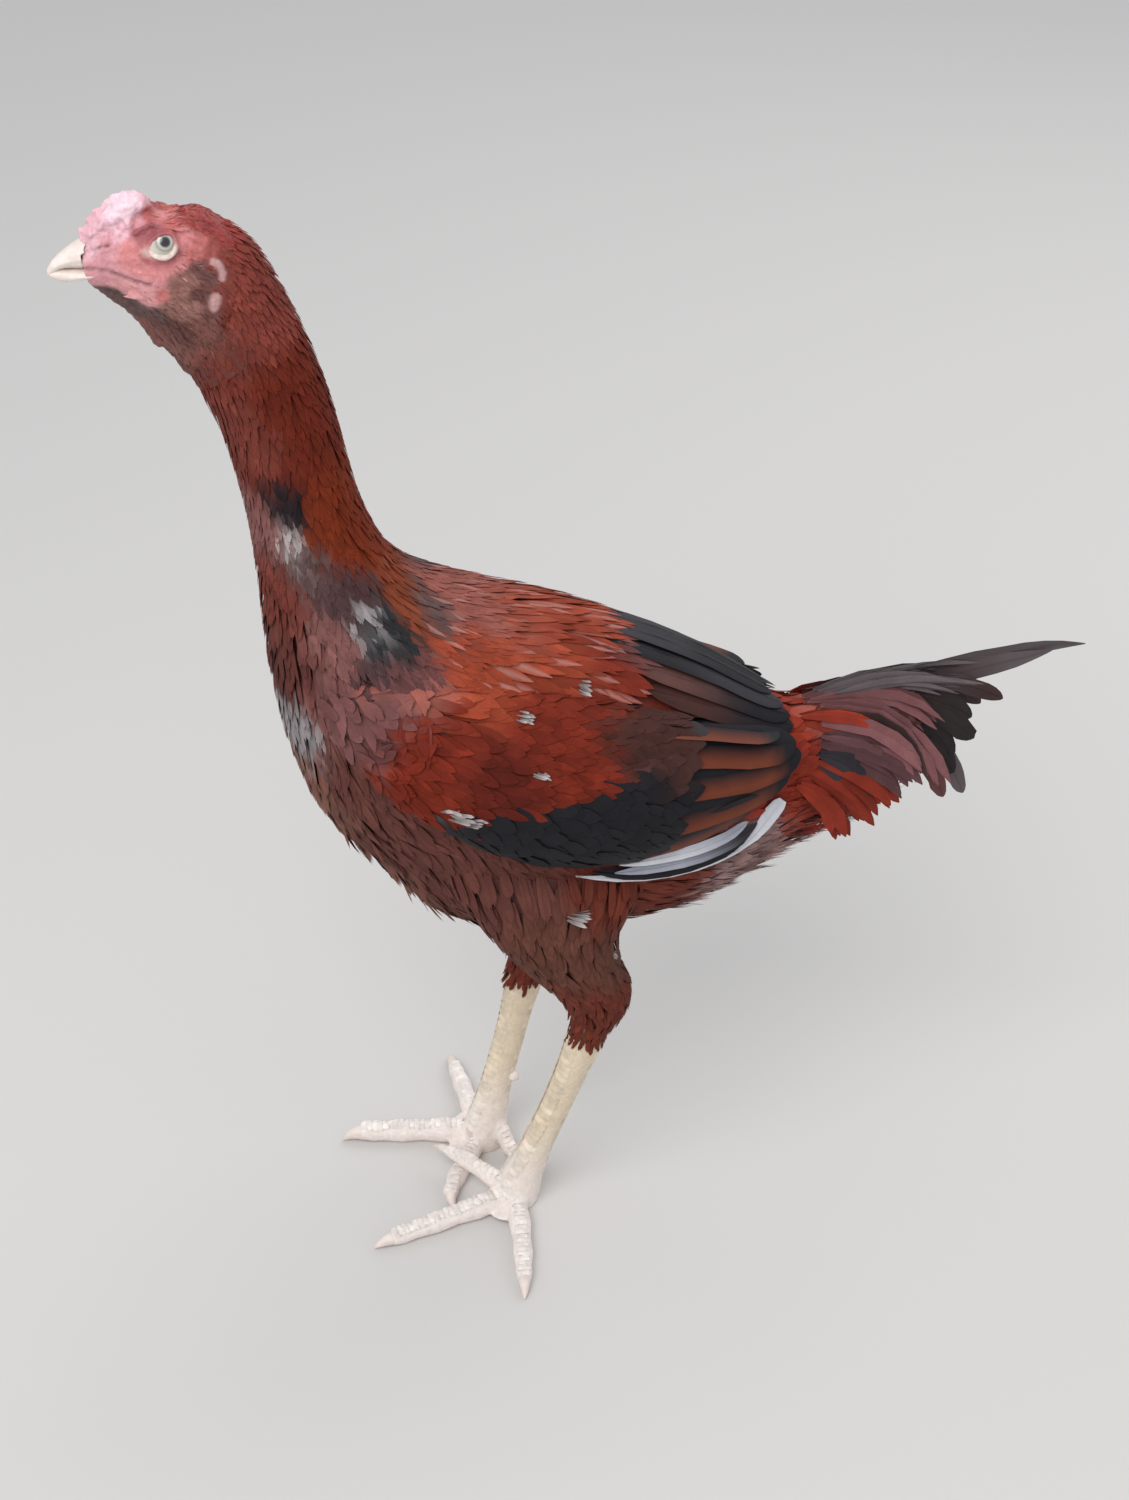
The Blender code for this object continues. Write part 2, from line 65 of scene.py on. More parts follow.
# The camera's place and what it and the lamps point at, in metres.
CAMERA_PLACE = (-0.24165, -0.98767, 1.04943)
CAMERA_TARGET = (-0.0314, 0.0015, 0.3147)
LAMP_TARGET = (0.0, 0.0, 0.3)
rng = np.random.default_rng(23)

# ---------------------------------------------------------------- forms under the feathers

# The body's rings from beak to tail, in millimetres: back x, z; front x, z; half width; pear.
BODY = (
    (-253.4, 627.5, -251.4, 609.0, 8.0, 0.05), (-244.4, 632.0, -243.6, 605.8, 11.5, 0.05),
    (-233.4, 637.0, -237.4, 599.6, 14.5, 0.08), (-221.4, 641.5, -233.0, 591.4, 16.8, 0.10),
    (-209.4, 643.0, -228.4, 582.3, 18.2, 0.08), (-198.2, 639.6, -222.6, 574.3, 19.2, 0.04),
    (-185.6, 633.0, -216.4, 567.5, 20.5, 0.0), (-174.6, 621.5, -212.4, 560.5, 22.3, 0.0),
    (-165.6, 603.4, -208.9, 553.0, 24.3, 0.0), (-157.3, 582.8, -205.4, 543.5, 26.2, 0.0),
    (-149.9, 561.0, -200.9, 532.0, 27.5, 0.0), (-143.9, 538.0, -197.4, 517.0, 28.0, 0.0),
    (-138.9, 512.0, -193.9, 498.5, 28.8, 0.0), (-133.4, 486.0, -190.9, 477.0, 30.5, 0.0),
    (-123.4, 460.0, -189.4, 452.0, 36.0, 0.0), (-109.4, 442.0, -188.4, 421.0, 46.0, 0.0),
    (-91.4, 430.0, -186.4, 384.0, 56.0, 0.04), (-67.4, 420.0, -180.4, 343.0, 62.0, 0.08),
    (-39.4, 411.0, -167.4, 301.0, 65.0, 0.10), (-11.4, 400.0, -139.4, 262.0, 66.0, 0.10),
    (15.6, 385.5, -104.4, 221.0, 66.0, 0.10), (43.6, 367.0, -51.4, 205.0, 62.0, 0.08),
    (68.6, 348.0, 1.6, 200.0, 54.0, 0.05), (89.6, 333.5, 48.6, 211.0, 42.0, 0.0),
    (107.6, 328.5, 86.6, 229.0, 33.0, 0.0), (125.6, 329.5, 116.6, 239.0, 25.0, 0.0),
    (145.6, 332.5, 142.6, 247.0, 18.5, 0.0), (162.6, 335.0, 163.6, 258.0, 12.0, 0.0),
)
# A folded wing from its bend to its end: top x, side y, z; bottom x, side y, z; half thickness.
WING = (
    (-153.4, 44.0, 408.0, -164.4, 52.0, 392.0, 6.0), (-135.4, 47.0, 410.0, -152.4, 62.0, 366.0, 12.0),
    (-101.4, 48.0, 404.0, -125.4, 70.0, 336.0, 17.0), (-65.4, 47.0, 394.0, -90.4, 73.0, 311.0, 21.0),
    (-29.4, 45.0, 382.0, -54.4, 73.0, 294.0, 23.0), (5.6, 42.0, 367.0, -15.4, 69.0, 286.0, 22.0),
    (38.6, 38.0, 352.0, 23.6, 61.0, 288.0, 18.0), (64.6, 34.0, 338.0, 57.6, 50.0, 296.0, 12.0),
    (84.6, 31.0, 329.0, 84.6, 40.0, 306.0, 5.0),
)
# A feathered thigh from the belly to the hock: front x, z; back x, z; side y; half width.
THIGH = (
    (-117.4, 300.0, 14.6, 286.0, 34.0, 22.0), (-105.4, 266.0, 6.6, 254.0, 41.0, 31.0),
    (-87.4, 235.0, -8.4, 225.0, 44.0, 29.5), (-66.4, 203.0, -7.4, 199.0, 42.5, 25.5),
    (-48.4, 178.0, -0.4, 178.0, 39.0, 21.5), (-38.4, 156.0, -1.4, 157.0, 36.0, 17.0),
    (-37.4, 139.0, -12.4, 137.0, 35.0, 12.5),
)
# The right leg stands further forward: x and z by which each ring of its thigh is moved.
RIGHT_THIGH = ((0, 0), (0, 0), (-4, -2), (-10, -4), (-17, -7), (-22, -10), (-24, -11))
LEFT, RIGHT = -1.0, 1.0
SIDES = ((LEFT, "left"), (RIGHT, "right"))


def mix(first, second, share):
    return first * (1 - share) + second * share


def through(a, b, c, d, t):
    """A smooth curve from b to c, led on by a and d."""
    return 0.5 * (2 * b + (c - a) * t + (2 * a - 5 * b + 4 * c - d) * t ** 2
                  + (3 * b - a - 3 * c + d) * t ** 3)


def led_on(rows):
    """The rows with one more at each end, straight on."""
    return np.vstack((2 * rows[0] - rows[1], rows, 2 * rows[-1] - rows[-2]))


def folded_over(points):
    """Points with their distance from the middle plane instead of y."""
    folded = points.copy()
    folded[:, 1] = np.abs(points[:, 1] - MIDDLE)
    return folded


def travelled(points):
    """How far along a line each of its points is."""
    return np.concatenate(((0.0,), np.cumsum(np.linalg.norm(np.diff(points, axis=0), axis=1))))


def unit(vectors):
    return vectors / (np.linalg.norm(vectors, axis=-1, keepdims=True) + 1e-9)


def place_in_scene(name, data):
    made = bpy.data.objects.new(name, data)
    bpy.context.scene.collection.objects.link(made)
    return made


def mesh_of(bm, name):
    """Ends a bmesh as a mesh."""
    mesh = bpy.data.meshes.new(name)
    bm.to_mesh(mesh)
    bm.free()
    return mesh


def store_hues(mesh, colour):
    hue = mesh.color_attributes.new("Hue", "FLOAT_COLOR", "POINT")
    full = np.concatenate((colour, np.ones(colour.shape[:-1] + (1,))), axis=-1)
    hue.data.foreach_set("color", full.ravel().astype(np.float32))


class Form:
    """A smooth surface through rings. station runs along it, turn goes round it in degrees."""

    def __init__(self, rings):
        rows = np.array(rings, float)
        self.last = len(rows) - 1
        self.rows = led_on(rows)

    def ring(self, station):
        inside = np.clip(station, 0.0, self.last)
        i = np.minimum(inside.astype(int), self.last - 1)
        t = (inside - i)[:, None]
        a, b, c, d = (self.rows[i + k] for k in range(4))
        ring = through(a, b, c, d, t)
        ring[:, :3] += (c - b)[:, :3] * (station - inside)[:, None]
        return ring

    def point(self, station, turn):
        ring = self.ring(station)
        up, out = np.cos(np.radians(turn))[:, None], np.sin(np.radians(turn))[:, None]
        return ring[:, :3] + ring[:, 3:6] * up + ring[:, 6:9] * out * (1 + ring[:, 9:] * up)

    def slopes(self, station, turn):
        """Millimetres moved for one station and for one degree."""
        along = (self.point(station + 0.05, turn) - self.point(station - 0.05, turn)) / 0.1
        around = (self.point(station, turn + 1.0) - self.point(station, turn - 1.0)) / 2.0
        return along, around

    def normal(self, station, turn):
        along, around = self.slopes(station, turn)
        normal = np.cross(along, around)
        normal /= np.linalg.norm(normal, axis=1)[:, None] + 1e-9
        outward = self.point(station, turn) - self.ring(station)[:, :3]
        normal[(normal * outward).sum(1) < 0] *= -1
        return normal


def mid_ring(upper, lower, out, pear=0.0):
    upper, lower = np.array(upper, float), np.array(lower, float)
    return [*((upper + lower) / 2), *((upper - lower) / 2), *out, pear]


def body_form():
    return Form([mid_ring((bx, MIDDLE, bz), (fx, MIDDLE, fz), (0, -w, 0), pear)
                 for bx, bz, fx, fz, w, pear in BODY])


def wing_form(side):
    rings = []
    for tx, ty, tz, bx, by, bz, half in WING:
        top, bottom = (tx, MIDDLE + side * ty, tz), (bx, MIDDLE + side * by, bz)
        out = np.array((0.0, side * (tz - bz), by - ty))
        rings.append(mid_ring(top, bottom, out / np.linalg.norm(out) * half))
    return Form(rings)


def thigh_form(side):
    shifts = RIGHT_THIGH if side > 0 else ((0, 0),) * len(THIGH)
    return Form([mid_ring((fx + dx, MIDDLE + side * y, fz + dz), (bx + dx, MIDDLE + side * y, bz + dz),
                          (0, side * w, 0))
                 for (fx, fz, bx, bz, y, w), (dx, dz) in zip(THIGH, shifts)])


# ---------------------------------------------------------------- markings

HUES = {
    "pink_shaft": (0.42, 0.20, 0.17), "crown_red": (0.27, 0.045, 0.040), "nape_red": (0.20, 0.042, 0.030),
    "throat_brown": (0.16, 0.060, 0.050), "front_brown": (0.15, 0.034, 0.024),
    "mahogany": (0.125, 0.017, 0.008), "copper": (0.165, 0.024, 0.007),
    "black_green": (0.022, 0.024, 0.026), "pink_brown": (0.19, 0.078, 0.070),
    "white_down": (0.40, 0.35, 0.34), "slate": (0.100, 0.062, 0.060), "plum": (0.072, 0.036, 0.037),
    "white_grey": (0.27, 0.24, 0.245), "keel_brown": (0.17, 0.075, 0.055),
    "red_brown": (0.125, 0.042, 0.033), "mauve": (0.13, 0.050, 0.048), "tail_mauve": (0.20, 0.080, 0.083),
    "saddle_pink": (0.28, 0.085, 0.065), "orange_red": (0.30, 0.050, 0.022), "brick": (0.17, 0.020, 0.009),
    "deep_red": (0.11, 0.014, 0.008), "thigh_red": (0.14, 0.029, 0.017),
    "thigh_brown": (0.12, 0.045, 0.031), "rump_red": (0.24, 0.028, 0.014), "vent_pink": (0.28, 0.17, 0.16),
    "comb_pale": (0.72, 0.42, 0.47), "comb_white": (0.80, 0.57, 0.63), "cere_pink": (0.62, 0.28, 0.31),
    # The dark red of the brow over the eyes, last on the next line, is painted shade.
    "face_pink": (0.58, 0.21, 0.21), "face_red": (0.44, 0.11, 0.10), "brow_shadow_red": (0.31, 0.085, 0.095),
    "jaw_pink": (0.62, 0.28, 0.29), "ear_brown": (0.13, 0.052, 0.048), "ear_tan": (0.26, 0.120, 0.100),
    "lobe": (0.50, 0.285, 0.275), "cere_pale": (0.70, 0.43, 0.45), "wine": (0.105, 0.030, 0.024),
    "temple_pink": (0.48, 0.145, 0.135), "temple_red": (0.30, 0.070, 0.060),
    # The first hue on the next line is painted shade under the lower jaw.
    "chin_shadow": (0.10, 0.056, 0.052), "chin_brown": (0.10, 0.038, 0.032), "leg_cream": (0.71, 0.59, 0.44),
    "ginger": (0.20, 0.044, 0.018), "foot_pink": (0.84, 0.75, 0.70), "umber": (0.055, 0.021, 0.017),
    "umber_pink": (0.10, 0.042, 0.036), "mauve_grey": (0.105, 0.046, 0.050),
    "bar_black": (0.012, 0.011, 0.014), "chestnut": (0.150, 0.036, 0.017),
    "slate_black": (0.032, 0.029, 0.034), "shoulder_brown": (0.17, 0.068, 0.064),
    "tail_grey": (0.110, 0.088, 0.094), "tail_soot": (0.026, 0.020, 0.020),
    "tail_brown": (0.050, 0.028, 0.026), "tail_dark": (0.022, 0.016, 0.017),
    "quill_white": (0.62, 0.62, 0.66), "lid_cream": (0.74, 0.61, 0.54), "quill_blue": (0.34, 0.35, 0.41),
}
# Where each colour shows: x, distance from the middle, z, reach, hue.
MARKS = (
    (-188, 5, 632, 12, "crown_red"), (-178, 10, 613, 16, "nape_red"), (-177, 21, 588, 18, "nape_red"),
    (-200, 19, 589, 9, "throat_brown"), (-188, 24, 576, 14, "front_brown"), (-169, 26, 554, 22, "mahogany"),
    (-191, 23, 545, 14, "front_brown"), (-157, 25, 521, 22, "mahogany"), (-182, 25, 523, 14, "front_brown"),
    (-149, 24, 498, 20, "copper"), (-157, 30, 483, 16, "copper"), (-133, 17, 470, 16, "copper"),
    (-117, 23, 443, 10, "ginger"), (-111, 32, 430, 8, "ginger"), (-172, 28, 500, 11, "bar_black"),
    (-168, 28.5, 489, 10, "bar_black"), (-185, 19, 480, 12, "pink_brown"), (-172, 29, 478, 9, "white_down"),
    (-164, 33, 463, 10, "slate"), (-149, 39, 447, 11, "plum"), (-137, 43.5, 434, 8, "white_grey"),
    (-136, 35, 447, 9, "plum"), (-128, 45, 428, 11, "black_green"), (-136, 56, 408, 9, "plum"),
    (-100, 24, 430, 11, "slate"), (-182, 24, 445, 14, "front_brown"), (-179, 27, 408, 14, "wine"),
    (-159, 44, 424, 12, "pink_brown"), (-155, 62, 389, 16, "pink_brown"), (-177, 25, 364, 9, "white_grey"),
    (-171, 20, 324, 12, "keel_brown"), (-156, 22, 297, 14, "keel_brown"), (-148, 48, 335, 14, "red_brown"),
    (-129, 44, 296, 16, "red_brown"), (-128, 60, 396, 10, "pink_brown"), (-117, 61, 401, 12, "mauve"),
    (-83, 11, 425, 16, "saddle_pink"), (-51, 22, 411, 18, "orange_red"), (-12, 2, 400, 18, "orange_red"),
    (-59, 23, 414, 16, "saddle_pink"), (-18, 23, 398, 15, "brick"), (-74, 45, 404, 16, "orange_red"),
    (-37, 41, 394, 15, "orange_red"), (10, 20, 384, 12, "mauve"), (0, 38, 375, 12, "brick"),
    (-98, 68, 388, 14, "saddle_pink"), (-48, 67, 377, 22, "brick"), (-16, 65, 365, 16, "deep_red"),
    (-82, 81, 355, 20, "brick"), (-114, 78, 364, 14, "mauve"), (-89, 59, 280, 16, "red_brown"),
    (-59, 68, 268, 16, "red_brown"), (-26, 67, 261, 18, "thigh_red"), (22, 51, 252, 18, "thigh_red"),
    (-49, 73, 244, 16, "thigh_brown"), (-12, 54, 206, 14, "thigh_brown"), (-23, 55, 165, 16, "thigh_red"),
    (96, 5, 330, 14, "rump_red"), (94, 29, 309, 18, "rump_red"), (118, 4, 328, 12, "saddle_pink"),
    (134, 15, 319, 12, "mauve"), (150, 16, 304, 10, "mauve"), (106, 30, 281, 12, "rump_red"),
    (120, 25, 293, 8, "black_green"), (139, 18, 270, 9, "rump_red"), (66, 40, 259, 12, "vent_pink"),
    (51, 41, 246, 10, "vent_pink"), (60, 0, 225, 16, "vent_pink"), (-60, 0, 230, 20, "thigh_brown"),
    (-140, 0, 270, 16, "keel_brown"),
)
FACE_MARKS = (
    (-244, 3, 641, 8, "comb_pale"), (-238, 6, 645, 7, "comb_white"), (-229, 6, 649, 7, "comb_white"),
    (-223, 4, 648.5, 4, "comb_pale"), (-248, 5, 629, 6, "comb_pale"), (-235, 8.7, 634, 4.5, "comb_pale"),
    (-241, 9, 628, 6, "cere_pink"), (-246, 8, 620, 5, "cere_pink"), (-227, 9, 640, 3, "cere_pink"),
    # The two dark red marks over the front of the eye are painted shade under the brow.
    (-231.5, 14.3, 629, 6, "face_pink"), (-226.3, 12.9, 635.2, 4, "brow_shadow_red"),
    (-220, 13.5, 637.5, 3.2, "brow_shadow_red"), (-221, 5.5, 642.5, 4, "face_red"), (-212, 9, 641, 5, "face_red"),
    (-206, 14, 633, 4.5, "face_pink"), (-223, 17, 622, 7, "face_pink"), (-213, 18, 623, 5, "face_pink"),
    (-200.5, 14.5, 630, 4.5, "temple_pink"), (-195, 14, 627.5, 4.5, "temple_red"),
    (-204, 16.5, 625.5, 3.5, "temple_pink"), (-226, 17, 611.5, 6, "jaw_pink"),
    (-235, 13, 612.5, 5, "jaw_pink"), (-220.6, 18.7, 608.5, 3.0, "temple_pink"),
    (-210, 19, 613, 5.5, "ear_tan"), (-203, 18.2, 619.5, 3.5, "ear_brown"),
    (-197.5, 19.5, 613.5, 3.4, "ear_brown"), (-200.5, 20.6, 605.5, 3.4, "ear_brown"),
    (-206, 20, 600.5, 5, "ear_tan"), (-213, 18.2, 601, 5, "ear_tan"), (-199, 20, 597.5, 4.5, "ear_brown"),
    (-205, 19.5, 608, 3.2, "ear_brown"), (-189, 18, 611, 5, "nape_red"), (-186.8, 12.6, 622, 7, "nape_red"),
    # The dark marks under the lower jaw on the next lines are painted shade.
    (-188.8, 22, 592.5, 8, "mahogany"), (-231.5, 6.8, 597.5, 4, "chin_shadow"),
    (-222, 14.5, 595.5, 3.6, "chin_shadow"), (-216.8, 16, 592, 3.6, "chin_brown"),
    (-211.5, 17, 587.3, 6, "chin_brown"), (-228, 3, 588, 7, "throat_brown"),
    (-216, 6, 580, 9, "throat_brown"), (-199, 7, 639, 8, "crown_red"), (-215, 4, 643.0, 5.2, "face_pink"),
    (-208, 4, 642.5, 4.5, "temple_pink"), (-201.5, 4, 640.5, 4.5, "temple_red"),
    # The dark marks under the front of the jaw are painted shade.
    (-239.5, 3, 603.0, 5, "chin_shadow"), (-234, 8.5, 600.0, 4.2, "chin_shadow"),
    (-229, 10, 597.5, 3.6, "chin_shadow"), (-223.5, 12.0, 594.0, 3.6, "chin_brown"),
    (-251.5, 5, 625.5, 3.2, "cere_pale"),
)
# The pale bare lobes behind and below the ear: x, distance from the middle, z, radius.
LOBES = (
    (-195.6, 17.1, 621.4, 1.5), (-193.8, 17.3, 620.4, 1.6), (-192.4, 17.7, 618.4, 1.6),
    (-192.0, 18.0, 616.0, 1.5), (-192.6, 18.6, 613.8, 1.3), (-196.2, 21.0, 606.0, 2.0),
    (-196.9, 21.2, 603.6, 2.1), (-197.6, 21.3, 601.2, 1.6),
)


def hue_at(points, marks, jitter=0.0, sharpness=6.0):
    """The marking's colour at each point: the nearest marks win, with a soft border."""
    places = np.array([m[:3] for m in marks], float)
    reach = np.array([m[3] for m in marks], float)
    hues = np.array([HUES[m[4]] for m in marks])
    far = np.linalg.norm(folded_over(points)[:, None, :] - places[None], axis=2) / reach
    far += rng.normal(0.0, jitter, far.shape) if jitter else 0.0
    weight = np.exp(-sharpness * (far - far.min(axis=1)[:, None]))
    return (weight[:, :, None] * hues[None]).sum(1) / weight.sum(1)[:, None]


# ---------------------------------------------------------------- feathers

class Template:
    """One feather's shape: across from -1 to 1, along from 0 to 1, and thickness, with its faces."""

    def __init__(self, bm):
        bmesh.ops.recalc_face_normals(bm, faces=bm.faces)
        bm.verts.index_update()
        self.place = np.array([v.co[:] for v in bm.verts])
        self.sizes = np.array([len(f.verts) for f in bm.faces])
        self.corners = np.array([v.index for f in bm.faces for v in f.verts])
        self.triangles = int((self.sizes - 2).sum())
        bm.free()


def add_loft(bm, sides, count, place):
    """A closed piece through count circles, whose points place(k, x, y) puts where they belong."""
    loops = []
    for k in range(count):
        ring = bmesh.ops.create_circle(bm, segments=sides, radius=1.0)["verts"]
        for vert in ring:
            vert.co = place(k, vert.co.x, vert.co.y)
        inside = set(ring)
        loops.append(list(dict.fromkeys(e for v in ring for e in v.link_edges if e.other_vert(v) in inside)))
    for first, second in zip(loops, loops[1:]):
        bmesh.ops.bridge_loops(bm, edges=first + second)
    bmesh.ops.edgeloop_fill(bm, edges=loops[0])
    bmesh.ops.edgeloop_fill(bm, edges=loops[-1])


def add_blade(bm, rows, sides=4, lean=0.0):
    """A thin closed blade through rows of (along, half width, half thickness), leaning sideways."""
    def place(k, x, y):
        along, half, thick = rows[k]
        return Vector((x * half + lean * along ** 1.3, along, y * thick))
    add_loft(bm, sides, len(rows), place)


def single_blade(rows, sides=4):
    bm = bmesh.new()
    add_blade(bm, rows, sides)
    return Template(bm)


def split_blade(blades):
    """Several narrow blades from one root: (lean, length, half width) each."""
    bm = bmesh.new()
    for lean, length, half in blades:
        rows = ((0.02, half * 0.5, 0.6), (0.35 * length, half, 1.0), (0.78 * length, half * 0.8, 0.7),
                (length, half * 0.12, 0.2))
        add_blade(bm, rows, 4, lean)
    return Template(bm)


LONG_FEATHER = single_blade(((0.0, 0.2, 0.8), (0.15, 0.62, 1.0), (0.38, 1.0, 1.0), (0.6, 0.92, 0.9),
                             (0.78, 0.66, 0.7), (0.92, 0.32, 0.5), (1.0, 0.05, 0.2)))
HACKLE_FEATHER = single_blade(((0.0, 0.3, 0.8), (0.2, 0.8, 1.0), (0.45, 1.0, 1.0), (0.68, 0.9, 0.9),
                               (0.84, 0.66, 0.7), (0.95, 0.34, 0.5), (1.0, 0.06, 0.2)))
COVERT = single_blade(((0.0, 0.2, 0.8), (0.18, 0.6, 1.0), (0.4, 0.93, 1.0), (0.62, 1.0, 0.9),
                       (0.8, 0.8, 0.7), (0.92, 0.46, 0.5), (1.0, 0.07, 0.2)))
SOFT_FEATHER = split_blade(((-0.58, 0.86, 0.36), (-0.29, 0.95, 0.38), (0.0, 1.0, 0.40), (0.30, 0.94, 0.38),
                            (0.60, 0.87, 0.36)))
DOWN_TUFT = split_blade(((-1.5, 0.7, 0.2), (-0.8, 0.95, 0.22), (0.0, 1.0, 0.24), (0.8, 0.9, 0.22),
                         (1.5, 0.75, 0.2)))
BRISTLE = single_blade(((0.0, 0.7, 1.0), (0.5, 0.8, 0.9), (1.0, 0.1, 0.2)))


def quill(profile):
    """A long flat feather with its shaft, from (along, half width) rows."""
    bm = bmesh.new()
    add_blade(bm, [(along, half, 1.0 - 0.6 * along) for along, half in profile], 8)
    shaft = [(along * 0.98, 0.085 - 0.075 * along, 2.6 - 1.7 * along) for along, _ in profile[::2]]
    add_blade(bm, shaft, 6)
    return Template(bm)


BROAD_QUILL = quill((
    (0.0, 0.12), (0.04, 0.34), (0.1, 0.62), (0.2, 0.88), (0.32, 0.97), (0.45, 1.0), (0.58, 1.0), (0.7, 1.0),
    (0.8, 0.97), (0.87, 0.88), (0.925, 0.72), (0.965, 0.5), (0.99, 0.25), (1.0, 0.06)))
TAPERED_QUILL = quill((
    (0.0, 0.12), (0.05, 0.4), (0.12, 0.68), (0.22, 0.88), (0.33, 0.98), (0.45, 1.0), (0.56, 0.98),
    (0.66, 0.9), (0.75, 0.74), (0.83, 0.56), (0.9, 0.38), (0.95, 0.22), (0.98, 0.12), (1.0, 0.04)))
WORN_QUILL = quill((
    (0.0, 0.05), (0.08, 0.24), (0.18, 0.44), (0.3, 0.58), (0.42, 0.62), (0.53, 0.58), (0.63, 0.46),
    (0.7, 0.32), (0.755, 0.26), (0.81, 0.55), (0.87, 0.9), (0.93, 1.0), (0.975, 0.86), (1.0, 0.5)))
SCUTE = single_blade(((0.0, 0.80, 0.5), (0.12, 0.97, 0.9), (0.5, 1.0, 1.0), (0.86, 0.94, 1.0),
                      (1.0, 0.66, 0.45)), 8)


def spread_weights(along, knots):
    """How much each knot of a line counts at each place along it."""
    at = np.clip(along, 0.0, 1.0) * (knots - 1)
    low = np.minimum(at.astype(int), knots - 2)
    weights = np.zeros((len(along), knots))
    weights[np.arange(len(along)), low] = 1.0 - (at - low)
    weights[np.arange(len(along)), low + 1] += at - low
    return weights


class Feathers:
    """Feathers of one kind: their lines, their facing, sizes, colours and places on the unwrap."""

    def __init__(self, lines, facing, half, root, tip, unwrap, thick=0.18, cup=0.12, roll=None, shaft=None):
        self.lines, self.facing, self.half, self.root, self.tip = lines, facing, half, root, tip
        self.unwrap, self.thick, self.cup = unwrap, thick, cup
        self.roll = np.zeros(len(half)) if roll is None else roll
        self.shaft = shaft
        self.turn_colour = (0.45, 0.85)
        self.patch = 0.003
        self.fray = 0.0
        self.paint = None

    def keep(self, chosen):
        for label in ("lines", "facing", "half", "root", "tip", "unwrap", "roll"):
            setattr(self, label, getattr(self, label)[chosen])
        if self.shaft is not None:
            self.shaft = self.shaft[chosen]

    def build(self, name, template, material, slot):
        count = len(self.half)
        per_piece = max(1, PIECE_LIMIT // template.triangles)
        pieces = []
        for number, start in enumerate(range(0, count, per_piece)):
            chosen = slice(start, min(count, start + per_piece))
            label = name if count <= per_piece else f"{name}_{number + 1}"
            pieces.append(self.build_piece(label, template, chosen, material))
        return pieces

    def build_piece(self, name, template, chosen, material):
        lines, facing, half = self.lines[chosen], self.facing[chosen], self.half[chosen]
        across, along, thick = template.place.T
        weights = spread_weights(along, lines.shape[1])
        middle = np.einsum("vk,fkc->fvc", weights, lines)
        heading = np.einsum("vk,fkc->fvc", weights, unit(np.gradient(lines, axis=1)))
        up = np.einsum("vk,fkc->fvc", weights, facing)
        side = unit(np.cross(up, heading))
        up = unit(np.cross(heading, side))
        roll = self.roll[chosen][:, None, None]
        side, up = side * np.cos(roll) + up * np.sin(roll), up * np.cos(roll) - side * np.sin(roll)
        wide = half[:, None] * across
        if self.fray:
            wide = wide * (1.0 - self.fray * rng.random(wide.shape) * across ** 4)
            slide = self.fray * 0.7 * half[:, None] * rng.normal(0.0, 1.0, wide.shape) * across ** 2 * along
            middle = middle + heading * slide[:, :, None]
        high = thick * self.thick - self.cup * half[:, None] * across ** 2
        corners = (middle + side * wide[:, :, None] + up * high[:, :, None]) * MM
        low, top = self.turn_colour
        share = np.clip((along - low) / (top - low), 0, 1)[None, :, None]
        colour = mix(self.root[chosen][:, None, :], self.tip[chosen][:, None, :], share)
        if self.shaft is not None:
            near = np.clip(1 - np.abs(across) * 4.0, 0, 1) * (thick > 0)
            near = near[None, :, None] * self.shaft[chosen][:, None, None]
            colour = mix(colour, np.array(HUES["pink_shaft"]), near)
        streak = 1.0 + 0.10 * np.sin(7.0 * across[None, :] + rng.uniform(0.0, 2 * math.pi, (len(half), 1)))
        colour = colour * streak[:, :, None]
        if self.paint is not None:
            colour = self.paint(colour, across[None, :, None], along[None, :, None])
        length = np.linalg.norm(np.diff(lines, axis=1), axis=2).sum(1)
        vane = np.stack((wide, along[None] * length[:, None]), axis=2)
        spot = np.stack((across * 0.45, along * 0.86 - 0.43 + 0.05 * np.sign(thick)), axis=1)
        bake = self.unwrap[chosen][:, None, :] * 0.98 + 0.01 + spot[None] * self.patch
        return joined_mesh(name, template, corners, colour, vane, bake, material)


def joined_mesh(name, template, corners, colour, vane, bake, material):
    """One mesh of many copies of a template, each with its own corners, colour and unwraps."""
    count, size = corners.shape[:2]
    loops = (np.arange(count)[:, None] * size + template.corners[None]).ravel()
    sizes = np.tile(template.sizes, count)
    mesh = bpy.data.meshes.new(name)
    mesh.vertices.add(count * size)
    mesh.vertices.foreach_set("co", corners.ravel().astype(np.float32))
    mesh.loops.add(len(loops))
    mesh.loops.foreach_set("vertex_index", loops.astype(np.int32))
    mesh.polygons.add(len(sizes))
    mesh.polygons.foreach_set("loop_start", (np.cumsum(sizes) - sizes).astype(np.int32))
    mesh.update(calc_edges=True)
    for label, place in (("Vane", vane), ("OFBake", bake)):
        layer = mesh.uv_layers.new(name=label)
        layer.uv.foreach_set("vector", place.reshape(-1, 2)[loops].ravel().astype(np.float32))
    store_hues(mesh, np.clip(colour, 0, 1))
    mesh.shade_smooth()
    mesh.set_sharp_from_angle(angle=math.radians(SHARP_ANGLE))
    return add_piece(name, mesh, material)


def add_piece(name, mesh, materials, replaced=()):
    materials = materials if isinstance(materials, (list, tuple)) else (materials,)
    for material in materials:
        mesh.materials.append(material)
    piece = place_in_scene(name, mesh)
    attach(piece, "root")
    if replaced:
        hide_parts(*replaced)
    return piece


